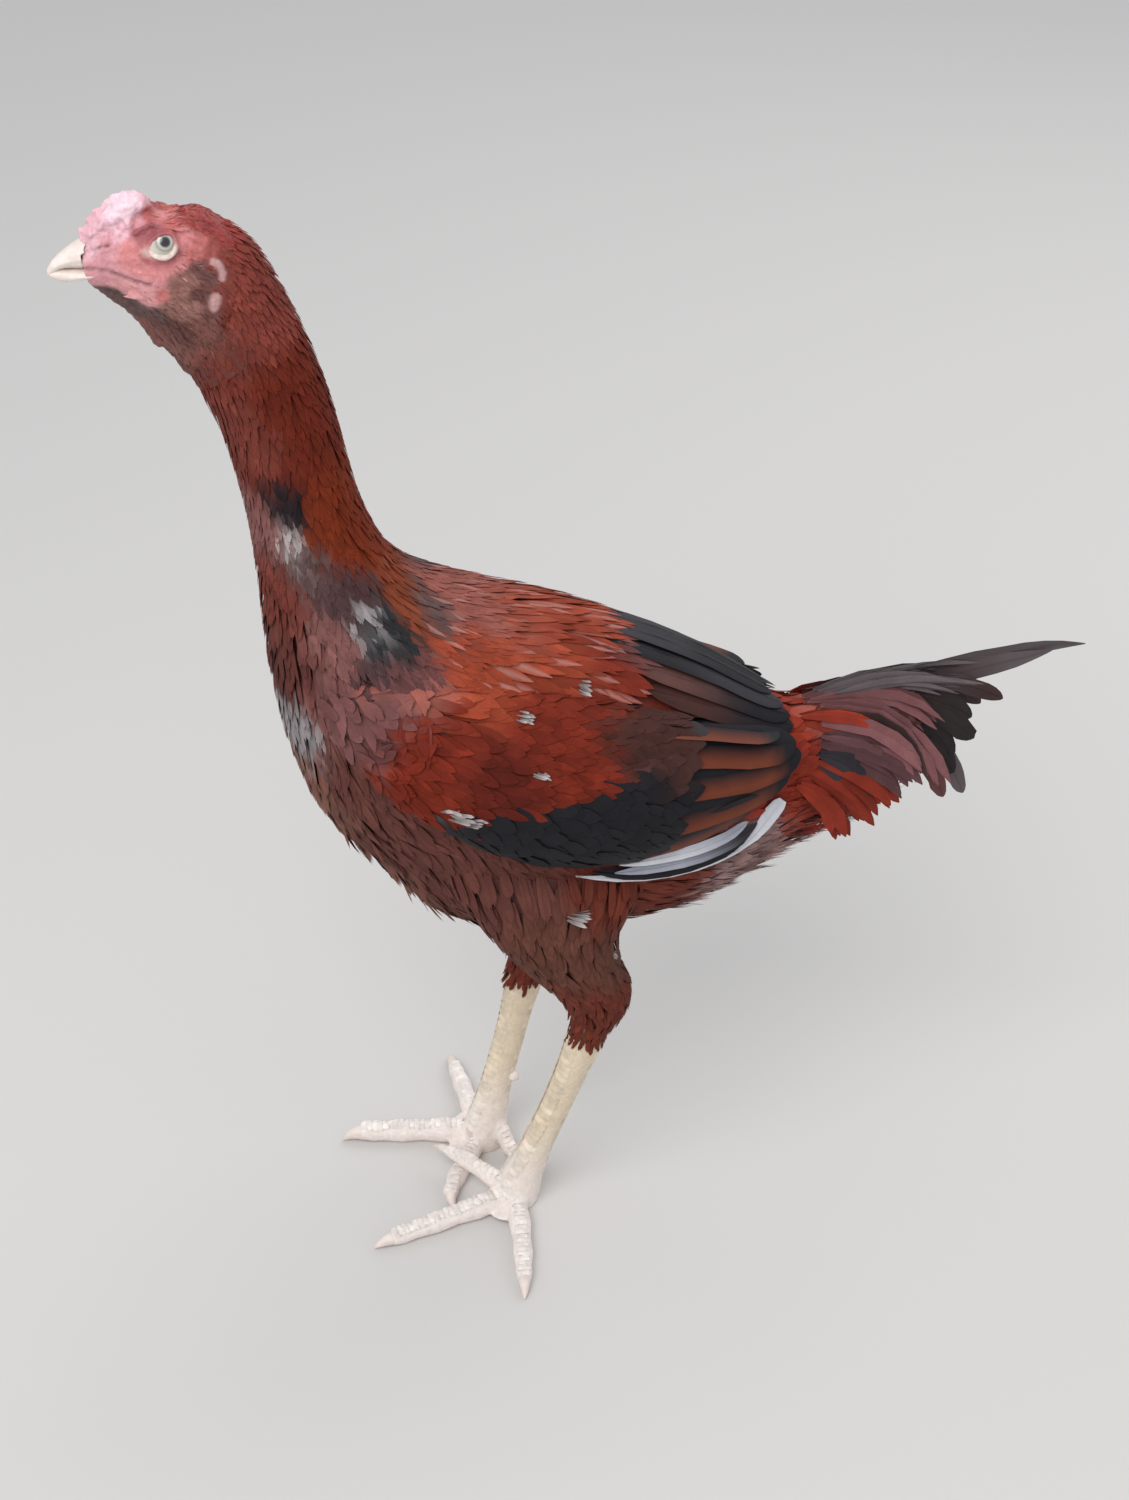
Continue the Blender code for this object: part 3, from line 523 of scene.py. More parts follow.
def scatter(form, stations, turns, gap):
    """Places spread over part of a form, at least gap apart. gap is a number or a function of station."""
    low, high = stations
    span = turns(np.linspace(low, high, 9)) if callable(turns) else np.array(turns, float)[:, None]
    first, last = span[0].min(), span[1].max()
    fine = np.linspace(low, high, AREA_GRID)
    grid_s, grid_t = np.meshgrid(fine, np.linspace(first, last, AREA_GRID), indexing="ij")
    along, around = form.slopes(grid_s.ravel(), grid_t.ravel())
    area = np.linalg.norm(np.cross(along, around), axis=1)
    total = area.mean() * (high - low) * (last - first)
    least = float(gap(fine).min()) if callable(gap) else gap
    count = int(TRIES * total / least ** 2)
    s, t = rng.uniform(low, high, count), rng.uniform(first, last, count)
    along, around = form.slopes(s, t)
    here = np.linalg.norm(np.cross(along, around), axis=1)
    keep = rng.uniform(0, area.max(), count) < here
    if callable(turns):
        edges = turns(s)
        keep &= (t > edges[0]) & (t < edges[1])
    s, t = s[keep], t[keep]
    points = form.point(s, t)
    gaps = gap(s) if callable(gap) else np.full(len(s), gap)
    taken, chosen = {}, []
    cell = float(gaps.max()) if len(gaps) else 1.0
    for i, (point, own) in enumerate(zip(points, gaps)):
        key = tuple((point // cell).astype(int))
        near = (taken.get((key[0] + a, key[1] + b, key[2] + c), ())
                for a in (-1, 0, 1) for b in (-1, 0, 1) for c in (-1, 0, 1))
        if any(((points[j] - point) ** 2).sum() < own * own for group in near for j in group):
            continue
        taken.setdefault(key, []).append(i)
        chosen.append(i)
    return s[chosen], t[chosen]


def lines_on(form, s, t, length, depth, yaw=0.0, rise=0.0, curl=0.0):
    """Lines of the given length over a form, from depth under it at the root up to its surface."""
    along, around = form.slopes(s, t)
    reach = length / (np.linalg.norm(along, axis=1) + 1e-6)
    reach = np.minimum(reach, 6.0)
    start = form.point(s, t)
    for _ in range(3):
        chord = np.linalg.norm(form.point(s + reach, t) - start, axis=1)
        reach = np.clip(reach * length / (chord + 1e-6), 0.0, 9.0)
    share = np.linspace(0.0, 1.0, KNOTS)
    drift = length * np.sin(yaw) / (np.linalg.norm(around, axis=1) + 1e-6)
    drift = np.clip(drift, -50.0, 50.0)
    bend = length * curl / (np.linalg.norm(around, axis=1) + 1e-6)
    stations = s[:, None] + reach[:, None] * share
    turns = t[:, None] + drift[:, None] * share + np.clip(bend, -40, 40)[:, None] * share ** 2
    points = form.point(stations.ravel(), turns.ravel()).reshape(len(s), KNOTS, 3)
    normals = form.normal(stations.ravel(), turns.ravel()).reshape(len(s), KNOTS, 3)
    depth = np.broadcast_to(depth, s.shape)[:, None]
    rise = np.broadcast_to(rise, s.shape)[:, None]
    height = -depth * (1 - share) ** 1.4 + rise * share ** 2 - COAT_SINK
    return points + normals * height[:, :, None], normals


def lines_between(form, start, end, low, high, arch=0.0):
    """Lines over a form from one (station, turn) to another, low above it at the root, high at the tip."""
    share = np.linspace(0.0, 1.0, KNOTS)
    start, end = np.array(start, float), np.array(end, float)
    places = start[:, None] + (end - start)[:, None] * share[None, :, None]
    points = form.point(places[..., 0].ravel(), places[..., 1].ravel()).reshape(-1, KNOTS, 3)
    normals = form.normal(places[..., 0].ravel(), places[..., 1].ravel()).reshape(-1, KNOTS, 3)
    low, high = (np.broadcast_to(value, len(start))[:, None] for value in (low, high))
    height = low + (high - low) * share + arch * 4.0 * share * (1.0 - share)
    return points + normals * height[:, :, None], normals


def along_path(path, knots=KNOTS):
    """Evenly spaced points on a curve through the path's points."""
    path = np.array(path, float)
    full = led_on(path)
    fine = []
    for i in range(1, len(full) - 2):
        a, b, c, d = full[i - 1:i + 3]
        for t in np.linspace(0.0, 1.0, 8, endpoint=False):
            fine.append(through(a, b, c, d, t))
    fine = np.array(fine + [path[-1]])
    far = travelled(fine)
    at = np.linspace(0.0, far[-1], knots)
    return np.stack([np.interp(at, far, fine[:, k]) for k in range(3)], axis=1)


def cover_of(*names):
    """What lies over the body there, for finding feathers that nobody can see."""
    bm = bmesh.new()
    for name in names:
        merged_copy(bm, name, 0.0)
    tree = BVHTree.FromBMesh(bm)
    bm.free()
    return tree


def hidden_under(tree, points, normals):
    return np.array([tree.ray_cast(Vector(point) * MM, Vector(normal), 0.06)[0] is not None
                     for point, normal in zip(points, normals)], bool)


def settle(lines, tree, height):
    """Lays lines on the skin itself, height above it."""
    facing = np.zeros_like(lines)
    for line, faces, rises in zip(lines, facing, height):
        for k in range(len(line)):
            place, normal, _, _ = tree.find_nearest(Vector(line[k]) * MM)
            line[k] = np.array(place) / MM + np.array(normal) * rises[k]
            faces[k] = normal
    return lines, facing


def unwrap_of(form, s, t, stations=None):
    low, high = stations or (0.0, form.last)
    return np.stack(((t + 180.0) % 360.0 / 360.0, np.clip((s - low) / (high - low), 0, 1)), axis=1)


def vary(colours, spread=0.12):
    """Each feather a little lighter or darker than the next."""
    return colours * np.exp(rng.normal(0.0, spread, (len(colours), 1)))


# ---------------------------------------------------------------- materials

def new_material(name):
    made = bpy.data.materials.new(name)
    made.use_nodes = True
    tree = made.node_tree
    return made, tree, tree.nodes["Principled BSDF"]


def node(tree, kind, inputs=(), **settings):
    made = tree.nodes.new(kind)
    for key, value in settings.items():
        setattr(made, key, value)
    for key, value in dict(inputs).items():
        if isinstance(value, bpy.types.NodeSocket):
            tree.links.new(value, made.inputs[key])
        else:
            made.inputs[key].default_value = value
    return made


def maths(tree, operation, a, b=0.0, clamp=False):
    return node(tree, "ShaderNodeMath", {0: a, 1: b}, operation=operation, use_clamp=clamp).outputs[0]


def set_inputs(shader, **values):
    """Plain values for a node's inputs, whose names have spaces instead of underscores."""
    for label, value in values.items():
        shader.inputs[label.replace("_", " ")].default_value = value


def object_noise(tree, scale, detail):
    where = node(tree, "ShaderNodeTexCoord").outputs["Object"]
    return node(tree, "ShaderNodeTexNoise", {"Vector": where, "Scale": scale, "Detail": detail}).outputs[0]


def add_bump(tree, shader, height, strength, distance):
    lumps = node(tree, "ShaderNodeBump", {"Height": height, "Strength": strength, "Distance": distance})
    tree.links.new(lumps.outputs[0], shader.inputs["Normal"])


def tinted_by(tree, colour, factor):
    return node(tree, "ShaderNodeVectorMath", {0: colour, 3: factor}, operation="SCALE").outputs[0]


def painted_with(group, name, **values):
    """A material whose colour comes from a piece's own hues by way of a group."""
    made, tree, shader = new_material(name)
    hue = node(tree, "ShaderNodeVertexColor", layer_name="Hue").outputs["Color"]
    detail = tree.nodes.new("ShaderNodeGroup")
    detail.node_tree = group
    tree.links.new(hue, detail.inputs["Colour"])
    set_inputs(detail, **values)
    tree.links.new(detail.outputs["Colour"], shader.inputs["Base Color"])
    return made, tree, shader, detail.outputs


def new_group(name, inputs, outputs):
    group = bpy.data.node_groups.new(name, "ShaderNodeTree")
    for label, kind, value in inputs:
        socket = group.interface.new_socket(name=label, in_out="INPUT", socket_type=kind)
        socket.default_value = value
    for label, kind in outputs:
        group.interface.new_socket(name=label, in_out="OUTPUT", socket_type=kind)
    return group, group.nodes.new("NodeGroupInput"), group.nodes.new("NodeGroupOutput")


def barb_group():
    """Fine slanting barbs on each side of a feather's shaft, and clumps where the barbs part."""
    group, given, result = new_group(
        "feather_barbs",
        (("Colour", "NodeSocketColor", (0.2, 0.1, 0.05, 1.0)), ("Barbs per mm", "NodeSocketFloat", 1.3),
         ("Depth", "NodeSocketFloat", 0.5), ("Mottle", "NodeSocketFloat", 0.3)),
        (("Colour", "NodeSocketColor"), ("Height", "NodeSocketFloat"), ("Roughness", "NodeSocketFloat")))
    vane = node(group, "ShaderNodeUVMap", uv_map="Vane").outputs[0]
    parts = node(group, "ShaderNodeSeparateXYZ", {0: vane})
    side = maths(group, "ABSOLUTE", parts.outputs[0])
    slant = maths(group, "SUBTRACT", parts.outputs[1], maths(group, "MULTIPLY", side, 1.5))
    wobble = object_noise(group, 260.0, 2.0)
    slant = maths(group, "ADD", slant, maths(group, "MULTIPLY", wobble, 1.6))
    wave = maths(group, "SINE", maths(group, "MULTIPLY", maths(
        group, "MULTIPLY", slant, given.outputs["Barbs per mm"]), 2 * math.pi))
    clump_place = node(group, "ShaderNodeCombineXYZ", {
        0: maths(group, "MULTIPLY", side, 0.25), 1: maths(group, "MULTIPLY", slant, 0.9)}).outputs[0]
    clump = node(group, "ShaderNodeTexNoise", {"Vector": clump_place, "Scale": 1.4, "Detail": 2.0}).outputs[0]
    shaft = maths(group, "SUBTRACT", 1.0, maths(group, "DIVIDE", side, 0.35), clamp=True)
    ridges = maths(group, "ADD", maths(group, "MULTIPLY", wave, 0.3), maths(group, "MULTIPLY", clump, 1.4))
    height = maths(group, "ADD", maths(group, "MULTIPLY", ridges, given.outputs["Depth"]), shaft)
    patches = object_noise(group, 75.0, 3.0)
    shade = maths(group, "ADD", maths(group, "MULTIPLY", clump, 0.9), maths(group, "MULTIPLY", wave, 0.1))
    shade = maths(group, "ADD", shade, patches)
    shade = maths(group, "MULTIPLY", maths(group, "SUBTRACT", shade, 0.95), given.outputs["Mottle"])
    tinted = tinted_by(group, given.outputs["Colour"], maths(group, "ADD", 1.0, shade))
    rough = maths(group, "ADD", 0.55, maths(group, "MULTIPLY", clump, 0.25))
    group.links.new(tinted, result.inputs["Colour"])
    group.links.new(height, result.inputs["Height"])
    group.links.new(rough, result.inputs["Roughness"])
    return group


BARBS = barb_group()


def feather_material(name, barbs, depth, mottle, sheen=0.0, rough=0.0, coat=0.0):
    made, tree, shader, given = painted_with(BARBS, name, Barbs_per_mm=barbs, Depth=depth, Mottle=mottle)
    roughness = maths(tree, "ADD", given["Roughness"], rough, clamp=True)
    tree.links.new(roughness, shader.inputs["Roughness"])
    add_bump(tree, shader, given["Height"], 0.35, 0.0004)
    set_inputs(shader, Sheen_Weight=sheen, Sheen_Roughness=0.5, Coat_Weight=coat, Coat_Roughness=0.35,
               Specular_IOR_Level=0.10)
    return made


def skin_group():
    """Wrinkled, grainy skin: colour blotches, pores and fine creases."""
    group, given, result = new_group(
        "wrinkled_skin",
        (("Colour", "NodeSocketColor", (0.6, 0.3, 0.3, 1.0)), ("Grain", "NodeSocketFloat", 700.0),
         ("Blotch", "NodeSocketFloat", 0.4)),
        (("Colour", "NodeSocketColor"), ("Height", "NodeSocketFloat")))
    where = node(group, "ShaderNodeTexCoord").outputs["Object"]
    cells = node(group, "ShaderNodeTexVoronoi", {"Vector": where, "Scale": given.outputs["Grain"]},
                 feature="SMOOTH_F1").outputs["Distance"]
    fine = object_noise(group, 420.0, 4.0)
    broad = object_noise(group, 140.0, 3.0)
    shade = maths(group, "ADD", maths(group, "MULTIPLY", cells, -0.5), maths(group, "ADD", fine, broad))
    shade = maths(group, "MULTIPLY", maths(group, "SUBTRACT", shade, 0.8), given.outputs["Blotch"])
    tinted = tinted_by(group, given.outputs["Colour"], maths(group, "ADD", 1.0, shade))
    height = maths(group, "ADD", maths(group, "MULTIPLY", cells, -1.0), maths(group, "MULTIPLY", fine, 0.8))
    group.links.new(tinted, result.inputs["Colour"])
    group.links.new(height, result.inputs["Height"])
    return group


SKIN = skin_group()


def skin_material(name, grain=700.0, blotch=0.5, rough=0.5, scatter_weight=0.12):
    made, tree, shader, given = painted_with(SKIN, name, Grain=grain, Blotch=blotch)
    add_bump(tree, shader, given["Height"], 0.6, 0.0005)
    set_inputs(shader, Roughness=rough, Specular_IOR_Level=0.3, Subsurface_Weight=scatter_weight,
               Subsurface_Radius=(1.0, 0.35, 0.25), Subsurface_Scale=0.002)
    return made


# ---------------------------------------------------------------- the skin

def merged_copy(bm, name, grow):
    """Adds a CAD node's shape to bm, its loose corners merged, pushed outwards by grow."""
    own = bmesh.new()
    own.from_mesh(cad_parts[name].data)
    bmesh.ops.remove_doubles(own, verts=own.verts, dist=1e-6)
    own.normal_update()
    for vert in own.verts:
        vert.co += vert.normal * grow * MM
    copy = mesh_of(own, "copy")
    bm.from_mesh(copy)
    bpy.data.meshes.remove(copy)


def fused(bm, voxel, smoothing):
    """One closed surface round everything in bm, as a new bmesh."""
    mesh = mesh_of(bm, "fused")
    piece = place_in_scene("fused", mesh)
    cells = piece.modifiers.new("cells", "REMESH")
    cells.mode = "VOXEL"
    cells.voxel_size = voxel * MM
    smooth = piece.modifiers.new("smooth", "SMOOTH")
    smooth.iterations = smoothing
    smooth.factor = 0.5
    made = bmesh.new()
    made.from_object(piece, bpy.context.evaluated_depsgraph_get())
    bpy.data.objects.remove(piece)
    bpy.data.meshes.remove(mesh)
    made.normal_update()
    return made


def add_lump(bm, place, radii, turn=(0.0, 0.0, 0.0)):
    """An egg-shaped swelling to be fused into the skin. Sizes in millimetres."""
    turn_x, turn_y, turn_z = (Matrix.Rotation(angle, 4, axis) for angle, axis in zip(turn, "XYZ"))
    spin = turn_z @ turn_y @ turn_x
    size = Matrix.Diagonal((*(Vector(radii) * MM), 1.0))
    bmesh.ops.create_icosphere(bm, subdivisions=3, radius=1.0,
                               matrix=Matrix.Translation(Vector(place) * MM) @ spin @ size)


def coords(bm):
    return np.array([v.co[:] for v in bm.verts]) / MM


# Where the mouth closes and the nostril's slit: x, distance from the middle, z.
MOUTH = ((-251.7, 8.2, 619.4), (-247.3, 10.0, 619.3), (-243.0, 11.3, 619.0), (-238.8, 12.3, 617.6),
         (-234.7, 13.9, 616.0), (-228.8, 16.9, 614.3), (-224.6, 18.4, 613.7))
NOSTRIL = ((-245.9, 7.5, 628.0), (-243.4, 8.2, 629.3), (-240.8, 8.9, 629.9))
EYE = (-217.0, 12.6, 630.5)      # centre of the left eye: x, distance from the middle, z
EYE_RADIUS = 7.4
EYE_REACH = 14.0                 # how far from the eye's centre the skin is shaped
SOCKET_RADIUS, LID_RADIUS = 6.2, 7.9
# Half width of the lids' opening in degrees, by roll: 0 is forwards and 90 is up.
LID_ROLLS = (-180, -135, -90, -45, -17, 0, 25, 60, 90, 135, 180)
LID_OPENING = (33, 38, 48, 58, 63, 46, 29, 21, 19, 26, 33)
# Comb knobs: x, distance from the middle, top z, radius.
COMB_KNOBS = (
    (-251.0, 0.0, 636.5, 2.4), (-247.5, 0.0, 641.0, 2.8), (-243.5, 0.0, 645.0, 3.0),
    (-239.0, 0.0, 648.0, 3.1), (-234.5, 0.0, 650.5, 3.2), (-230.0, 0.0, 651.0, 3.1),
    (-225.8, 0.0, 650.0, 2.6), (-222.0, 0.0, 648.0, 2.2), (-247.5, 4.6, 636.5, 2.3),
    (-243.0, 5.6, 640.5, 2.6), (-238.5, 6.2, 643.5, 2.7), (-233.8, 6.6, 646.0, 2.8),
    (-229.0, 6.2, 647.6, 2.6), (-224.8, 4.8, 647.6, 2.2), (-246.5, 6.4, 631.5, 2.6),
    (-241.0, 8.2, 634.5, 2.8), (-235.5, 8.6, 638.0, 2.7), (-230.5, 8.4, 641.0, 2.4),
)
# Folds and swellings of the face: place, radii, turn about y in degrees.
FACE_FOLDS = (
    ((-217.0, 13.0, 640.2), (6.0, 1.9, 1.4), 0.0), ((-208.6, 13.3, 637.9), (4.6, 1.7, 1.3), 28.0),
    ((-226.0, 12.4, 637.4), (4.6, 1.7, 1.4), -28.0), ((-224.0, 16.0, 612.0), (10.0, 1.6, 2.2), 10.0),
    ((-217.0, 17.0, 617.6), (6.5, 1.2, 1.0), 10.0), ((-229.0, 14.2, 606.0), (9.0, 1.7, 1.6), 12.0),
    ((-242.0, 8.0, 627.0), (4.6, 2.4, 3.4), 0.0), ((-246.5, 6.8, 622.0), (3.6, 2.2, 2.6), 0.0),
    ((-203.0, 14.6, 632.0), (4.6, 1.3, 1.0), 34.0), ((-203.0, 15.8, 627.0), (4.6, 1.2, 0.9), 16.0),
    ((-212.0, 10.5, 641.2), (5.5, 1.3, 0.9), 8.0), ((-219.0, 8.0, 643.6), (3.2, 1.2, 0.9), -10.0),
    ((-251.4, 4.4, 626.0), (1.9, 1.7, 2.8), 30.0), ((-251.6, 6.7, 621.8), (2.1, 1.7, 3.2), 12.0),
    ((-250.0, 6.6, 615.6), (2.4, 1.4, 1.8), 0.0), ((-248.6, 5.4, 612.6), (2.6, 2.0, 1.8), 0.0),
)


# Swellings on the middle line: x, z, radius, half width.
THROAT_AND_NAPE = (
    (-248.0, 608.6, 2.6, 4.6), (-244.8, 606.4, 3.2, 5.4), (-241.6, 604.0, 3.6, 6.0),
    (-238.8, 602.2, 4.3, 6.8), (-235.8, 600.4, 4.8, 7.5), (-232.4, 597.2, 5.0, 8.0),
    (-229.3, 593.4, 5.0, 8.0), (-226.8, 589.2, 4.9, 8.2), (-224.5, 584.8, 4.8, 8.5),
    (-222.4, 580.0, 4.6, 8.5), (-201.5, 628.2, 10.0, 10.0), (-193.0, 625.0, 10.0, 11.0),
    (-184.3, 615.9, 10.0, 12.0), (-175.9, 598.9, 10.0, 13.0),
)


def line_distance(points, line):
    """How far each point is from a line that both sides of the bird have."""
    folded = folded_over(points)
    line = np.array(line, float)
    least = np.full(len(points), 1e9)
    for a, b in zip(line[:-1], line[1:]):
        share = np.clip(((folded - a) @ (b - a)) / ((b - a) @ (b - a)), 0.0, 1.0)
        least = np.minimum(least, np.linalg.norm(folded - a - share[:, None] * (b - a), axis=1))
    return least


def side_of(point):
    return LEFT if point.y < MIDDLE else RIGHT


def eye_frame(side):
    """The eye's centre, the way it looks, and its forward and upward directions."""
    centre = Vector((EYE[0], MIDDLE + side * EYE[1], EYE[2]))
    gaze = Vector((EYE_GAZE[0], side, EYE_GAZE[1])).normalized()
    forward = (Vector((-1.0, 0.0, 0.0)) + gaze * gaze.x).normalized()
    up = forward.cross(gaze) if forward.cross(gaze).z > 0 else gaze.cross(forward)
    return centre, gaze, forward, up


def shape_lids(point, side):
    """Moves a point of the head's skin so that lids wrap the eyeball and leave its opening."""
    centre, gaze, forward, up = eye_frame(side)
    offset = point - centre
    far = offset.length
    if far > EYE_REACH or offset.dot(gaze) < -1.0:
        return point
    angle = math.degrees(gaze.angle(offset))
    roll = math.degrees(math.atan2(offset.dot(up), offset.dot(forward)))
    opening = float(np.interp(roll, LID_ROLLS, LID_OPENING))
    upper = max(0.0, math.sin(math.radians(roll)))
    if angle < opening:
        return centre + offset.normalized() * min(far, SOCKET_RADIUS)
    rim = math.exp(-((angle - opening - 5.0) / 7.0) ** 2)
    shell = LID_RADIUS + (0.4 + 1.0 * upper) * rim
    lower = max(0.0, -math.sin(math.radians(roll)))
    shell += 1.0 * lower * math.exp(-((angle - opening - 12.0) / 12.0) ** 2)
    width = 22.0 + 20.0 * lower
    if angle < 100.0 and far < shell:
        return centre + offset.normalized() * shell
    if angle < opening + width:
        blend = ((angle - opening) / width) ** 2
        return centre + offset.normalized() * (shell * (1 - blend) + far * blend)
    return point


def paint_lids(points, colour):
    """Cream on the lower lid's rim; painted shade in dark red in the fold over the upper lid and in the
    crease under the lower lid.
    """
    for side in (LEFT, RIGHT):
        centre, gaze, forward, up = (np.array(v) for v in eye_frame(side))
        offset = points - centre
        far = np.linalg.norm(offset, axis=1)
        angle = np.degrees(np.arccos(np.clip(offset @ gaze / (far + 1e-9), -1.0, 1.0)))
        roll = np.degrees(np.arctan2(offset @ up, offset @ forward))
        past = angle - np.interp(roll, LID_ROLLS, LID_OPENING)
        near = (far < 12.0) & (angle < 110.0)
        low = np.clip(-np.sin(np.radians(roll)) * 1.8 - 0.1, 0.0, 1.0)
        cream = np.exp(-(np.maximum(past - 22.0, 0.0) / 4.5) ** 2) * low * near
        high = np.clip(np.sin(np.radians(roll)) * 1.5, 0.0, 1.0)
        # Painted shade: dark red in the fold over the upper lid, at the upper lid's edge and in the crease
        # under the lower lid.
        dark = (0.75 * np.exp(-((past - 16.0) / 6.0) ** 2) + 0.5 * np.exp(-(past / 4.0) ** 2)) * high * near
        dark = np.maximum(dark, 0.75 * np.exp(-((past - 33.0) / 5.0) ** 2) * low * near)
        colour = colour + cream[:, None] * (np.array(HUES["lid_cream"]) - colour)
        colour = colour + dark[:, None] * (np.array(HUES["brow_shadow_red"]) - colour)
    return colour


def wrinkle(co, normal, amount, scale):
    """A small fold of the skin, deeper along creases."""
    value = noise.turbulence(co * scale, 3, False)
    return normal * (value - 0.45) * amount


def build_head():
    bm = bmesh.new()
    merged_copy(bm, "head", 0.3)
    merged_copy(bm, "neck_upper", -0.9)
    merged_copy(bm, "comb", -0.5)
    for x, y, top, radius in COMB_KNOBS:
        for side in ((0.0,) if y == 0.0 else (LEFT, RIGHT)):
            add_lump(bm, (x, MIDDLE + side * y, top - radius), (radius, radius * 0.9, radius))
    for (x, y, z), radii, turn in FACE_FOLDS:
        for side in (LEFT, RIGHT):
            add_lump(bm, (x, MIDDLE + side * y, z), radii, (0.0, math.radians(turn), 0.0))
    for x, z, radius, wide in THROAT_AND_NAPE:
        add_lump(bm, (x, MIDDLE, z), (radius, wide, radius))
    for side in (LEFT, RIGHT):
        add_lump(bm, eye_frame(side)[0], (8.0, 7.4, 8.0))
        for x, y, z, radius in LOBES:
            add_lump(bm, (x, MIDDLE + side * (y - 0.6 * radius), z), (radius, radius, radius * 1.2))
    head = fused(bm, HEAD_CELL, 5)
    for vert in head.verts:
        point = vert.co / MM
        crown = math.exp(-((point.x + 213.0) / 9.0) ** 2) * min(max((point.z - 634.0) / 8.0, 0.0), 1.0)
        crown *= min(max((point.x + 223.0) / 5.0, 0.0), 1.0)
        vert.co.z -= 3.8 * crown * MM
    cut = Vector(NECK_CUT) * MM
    geometry = head.verts[:] + head.edges[:] + head.faces[:]
    bmesh.ops.bisect_plane(head, geom=geometry, plane_co=cut, plane_no=(0.62, 0.0, -0.78), clear_outer=True)
    head.normal_update()
    for vert in head.verts:
        point = vert.co / MM
        vert.co = shape_lids(point, side_of(point)) * MM
    bmesh.ops.smooth_vert(head, verts=head.verts, factor=0.25,
                          use_axis_x=True, use_axis_y=True, use_axis_z=True)
    head.normal_update()
    for vert in head.verts:
        point = vert.co / MM
        near_eye = (point - eye_frame(side_of(point))[0]).length
        on_comb = point.z - (634.0 + 0.35 * (point.x + 245.0)) > 0 and point.x < -219.0
        amount = 0.9 if on_comb else 0.6
        if near_eye < 10.0:
            amount = 0.15
        vert.co += wrinkle(point, vert.normal, amount, 0.28 if on_comb else 0.2) * MM
    head.normal_update()
    points = coords(head)
    groove = 0.9 * np.exp(-(line_distance(points, MOUTH) / 0.9) ** 2)
    groove += 1.3 * np.exp(-(line_distance(points, NOSTRIL) / 1.0) ** 2)
    for vert, depth in zip(head.verts, groove):
        vert.co -= vert.normal * float(depth) * MM
    return head


def build_trunk():
    bm = bmesh.new()
    names = ("neck_upper", "neck_lower", "breast", "rump", "tail", "wing_left", "wing_right",
             "thigh_left", "thigh_right")
    for name in names:
        merged_copy(bm, name, 0.8)
    trunk = fused(bm, TRUNK_CELL, 3)
    for vert in trunk.verts:
        depth = NECK_DEPTH if vert.co.z > NECK_START else TRUNK_DEPTH
        depth = THIGH_DEPTH if vert.co.z < THIGH_END else depth
        vert.co -= vert.normal * depth * MM
    return trunk


# Toes from the ball of the foot to the nail: the top line's points; radius at the base and at the nail.
TOES = {
    "left_middle": (
        ((-69.4, -26.5, 6.4), (-93.4, -33.0, 5.8), (-119.4, -39.0, 5.1), (-146.4, -45.5, 4.4)), 7.4, 5.1),
    "left_outer": (
        ((-68.4, -27.5, 6.1), (-69.9, -51.5, 5.5), (-72.4, -73.5, 4.8), (-75.4, -92.5, 4.0)), 7.0, 4.7),
    "left_inner": (
        ((-69.4, -25.5, 9.0), (-80.4, -19.5, 14.5), (-93.4, -5.0, 17.2), (-103.4, 6.5, 16.6)), 6.2, 3.7),
    "left_hind": (
        ((-59.4, -21.5, 25.0), (-55.4, -13.5, 14.0), (-52.4, -6.5, 5.0), (-50.4, -1.5, 3.1)), 5.2, 3.7),
    "right_middle": (
        ((-78.4, 29.5, 6.8), (-101.4, 35.0, 6.3), (-127.4, 40.5, 5.8), (-152.4, 45.0, 5.2)), 7.8, 6.0),
    "right_outer": (
        ((-77.4, 31.5, 6.1), (-81.4, 54.0, 5.5), (-83.4, 74.0, 4.8), (-85.4, 93.0, 4.0)), 7.0, 4.6),
    "right_inner": (
        ((-79.4, 26.5, 5.7), (-90.4, 11.0, 5.3), (-100.4, -4.5, 4.9), (-106.4, -17.5, 4.3)), 6.5, 4.9),
    "right_hind": (
        ((-72.4, 23.5, 25.0), (-67.9, 17.5, 14.0), (-64.4, 11.5, 5.6), (-61.9, 6.0, 3.5)), 5.4, 4.0),
}
# The claws' tips.
CLAW_TIPS = {
    "left_middle": (-158.4, -48.0, 1.2), "left_outer": (-77.9, -105.2, 1.2),
    "left_inner": (-111.9, 15.5, 13.5), "left_hind": (-48.4, 5.5, 1.2), "right_middle": (-164.9, 44.5, 1.2),
    "right_outer": (-86.9, 105.7, 1.2), "right_inner": (-104.9, -28.5, 1.2),
    "right_hind": (-58.9, -3.0, 1.2),
}
# Web of skin between two toes near their roots: the toes' names, and how far it reaches.
WEBS = (("left_middle", "left_outer", 19.0), ("right_middle", "right_inner", 20.0),
        ("left_middle", "left_inner", 12.0), ("right_middle", "right_outer", 20.0))


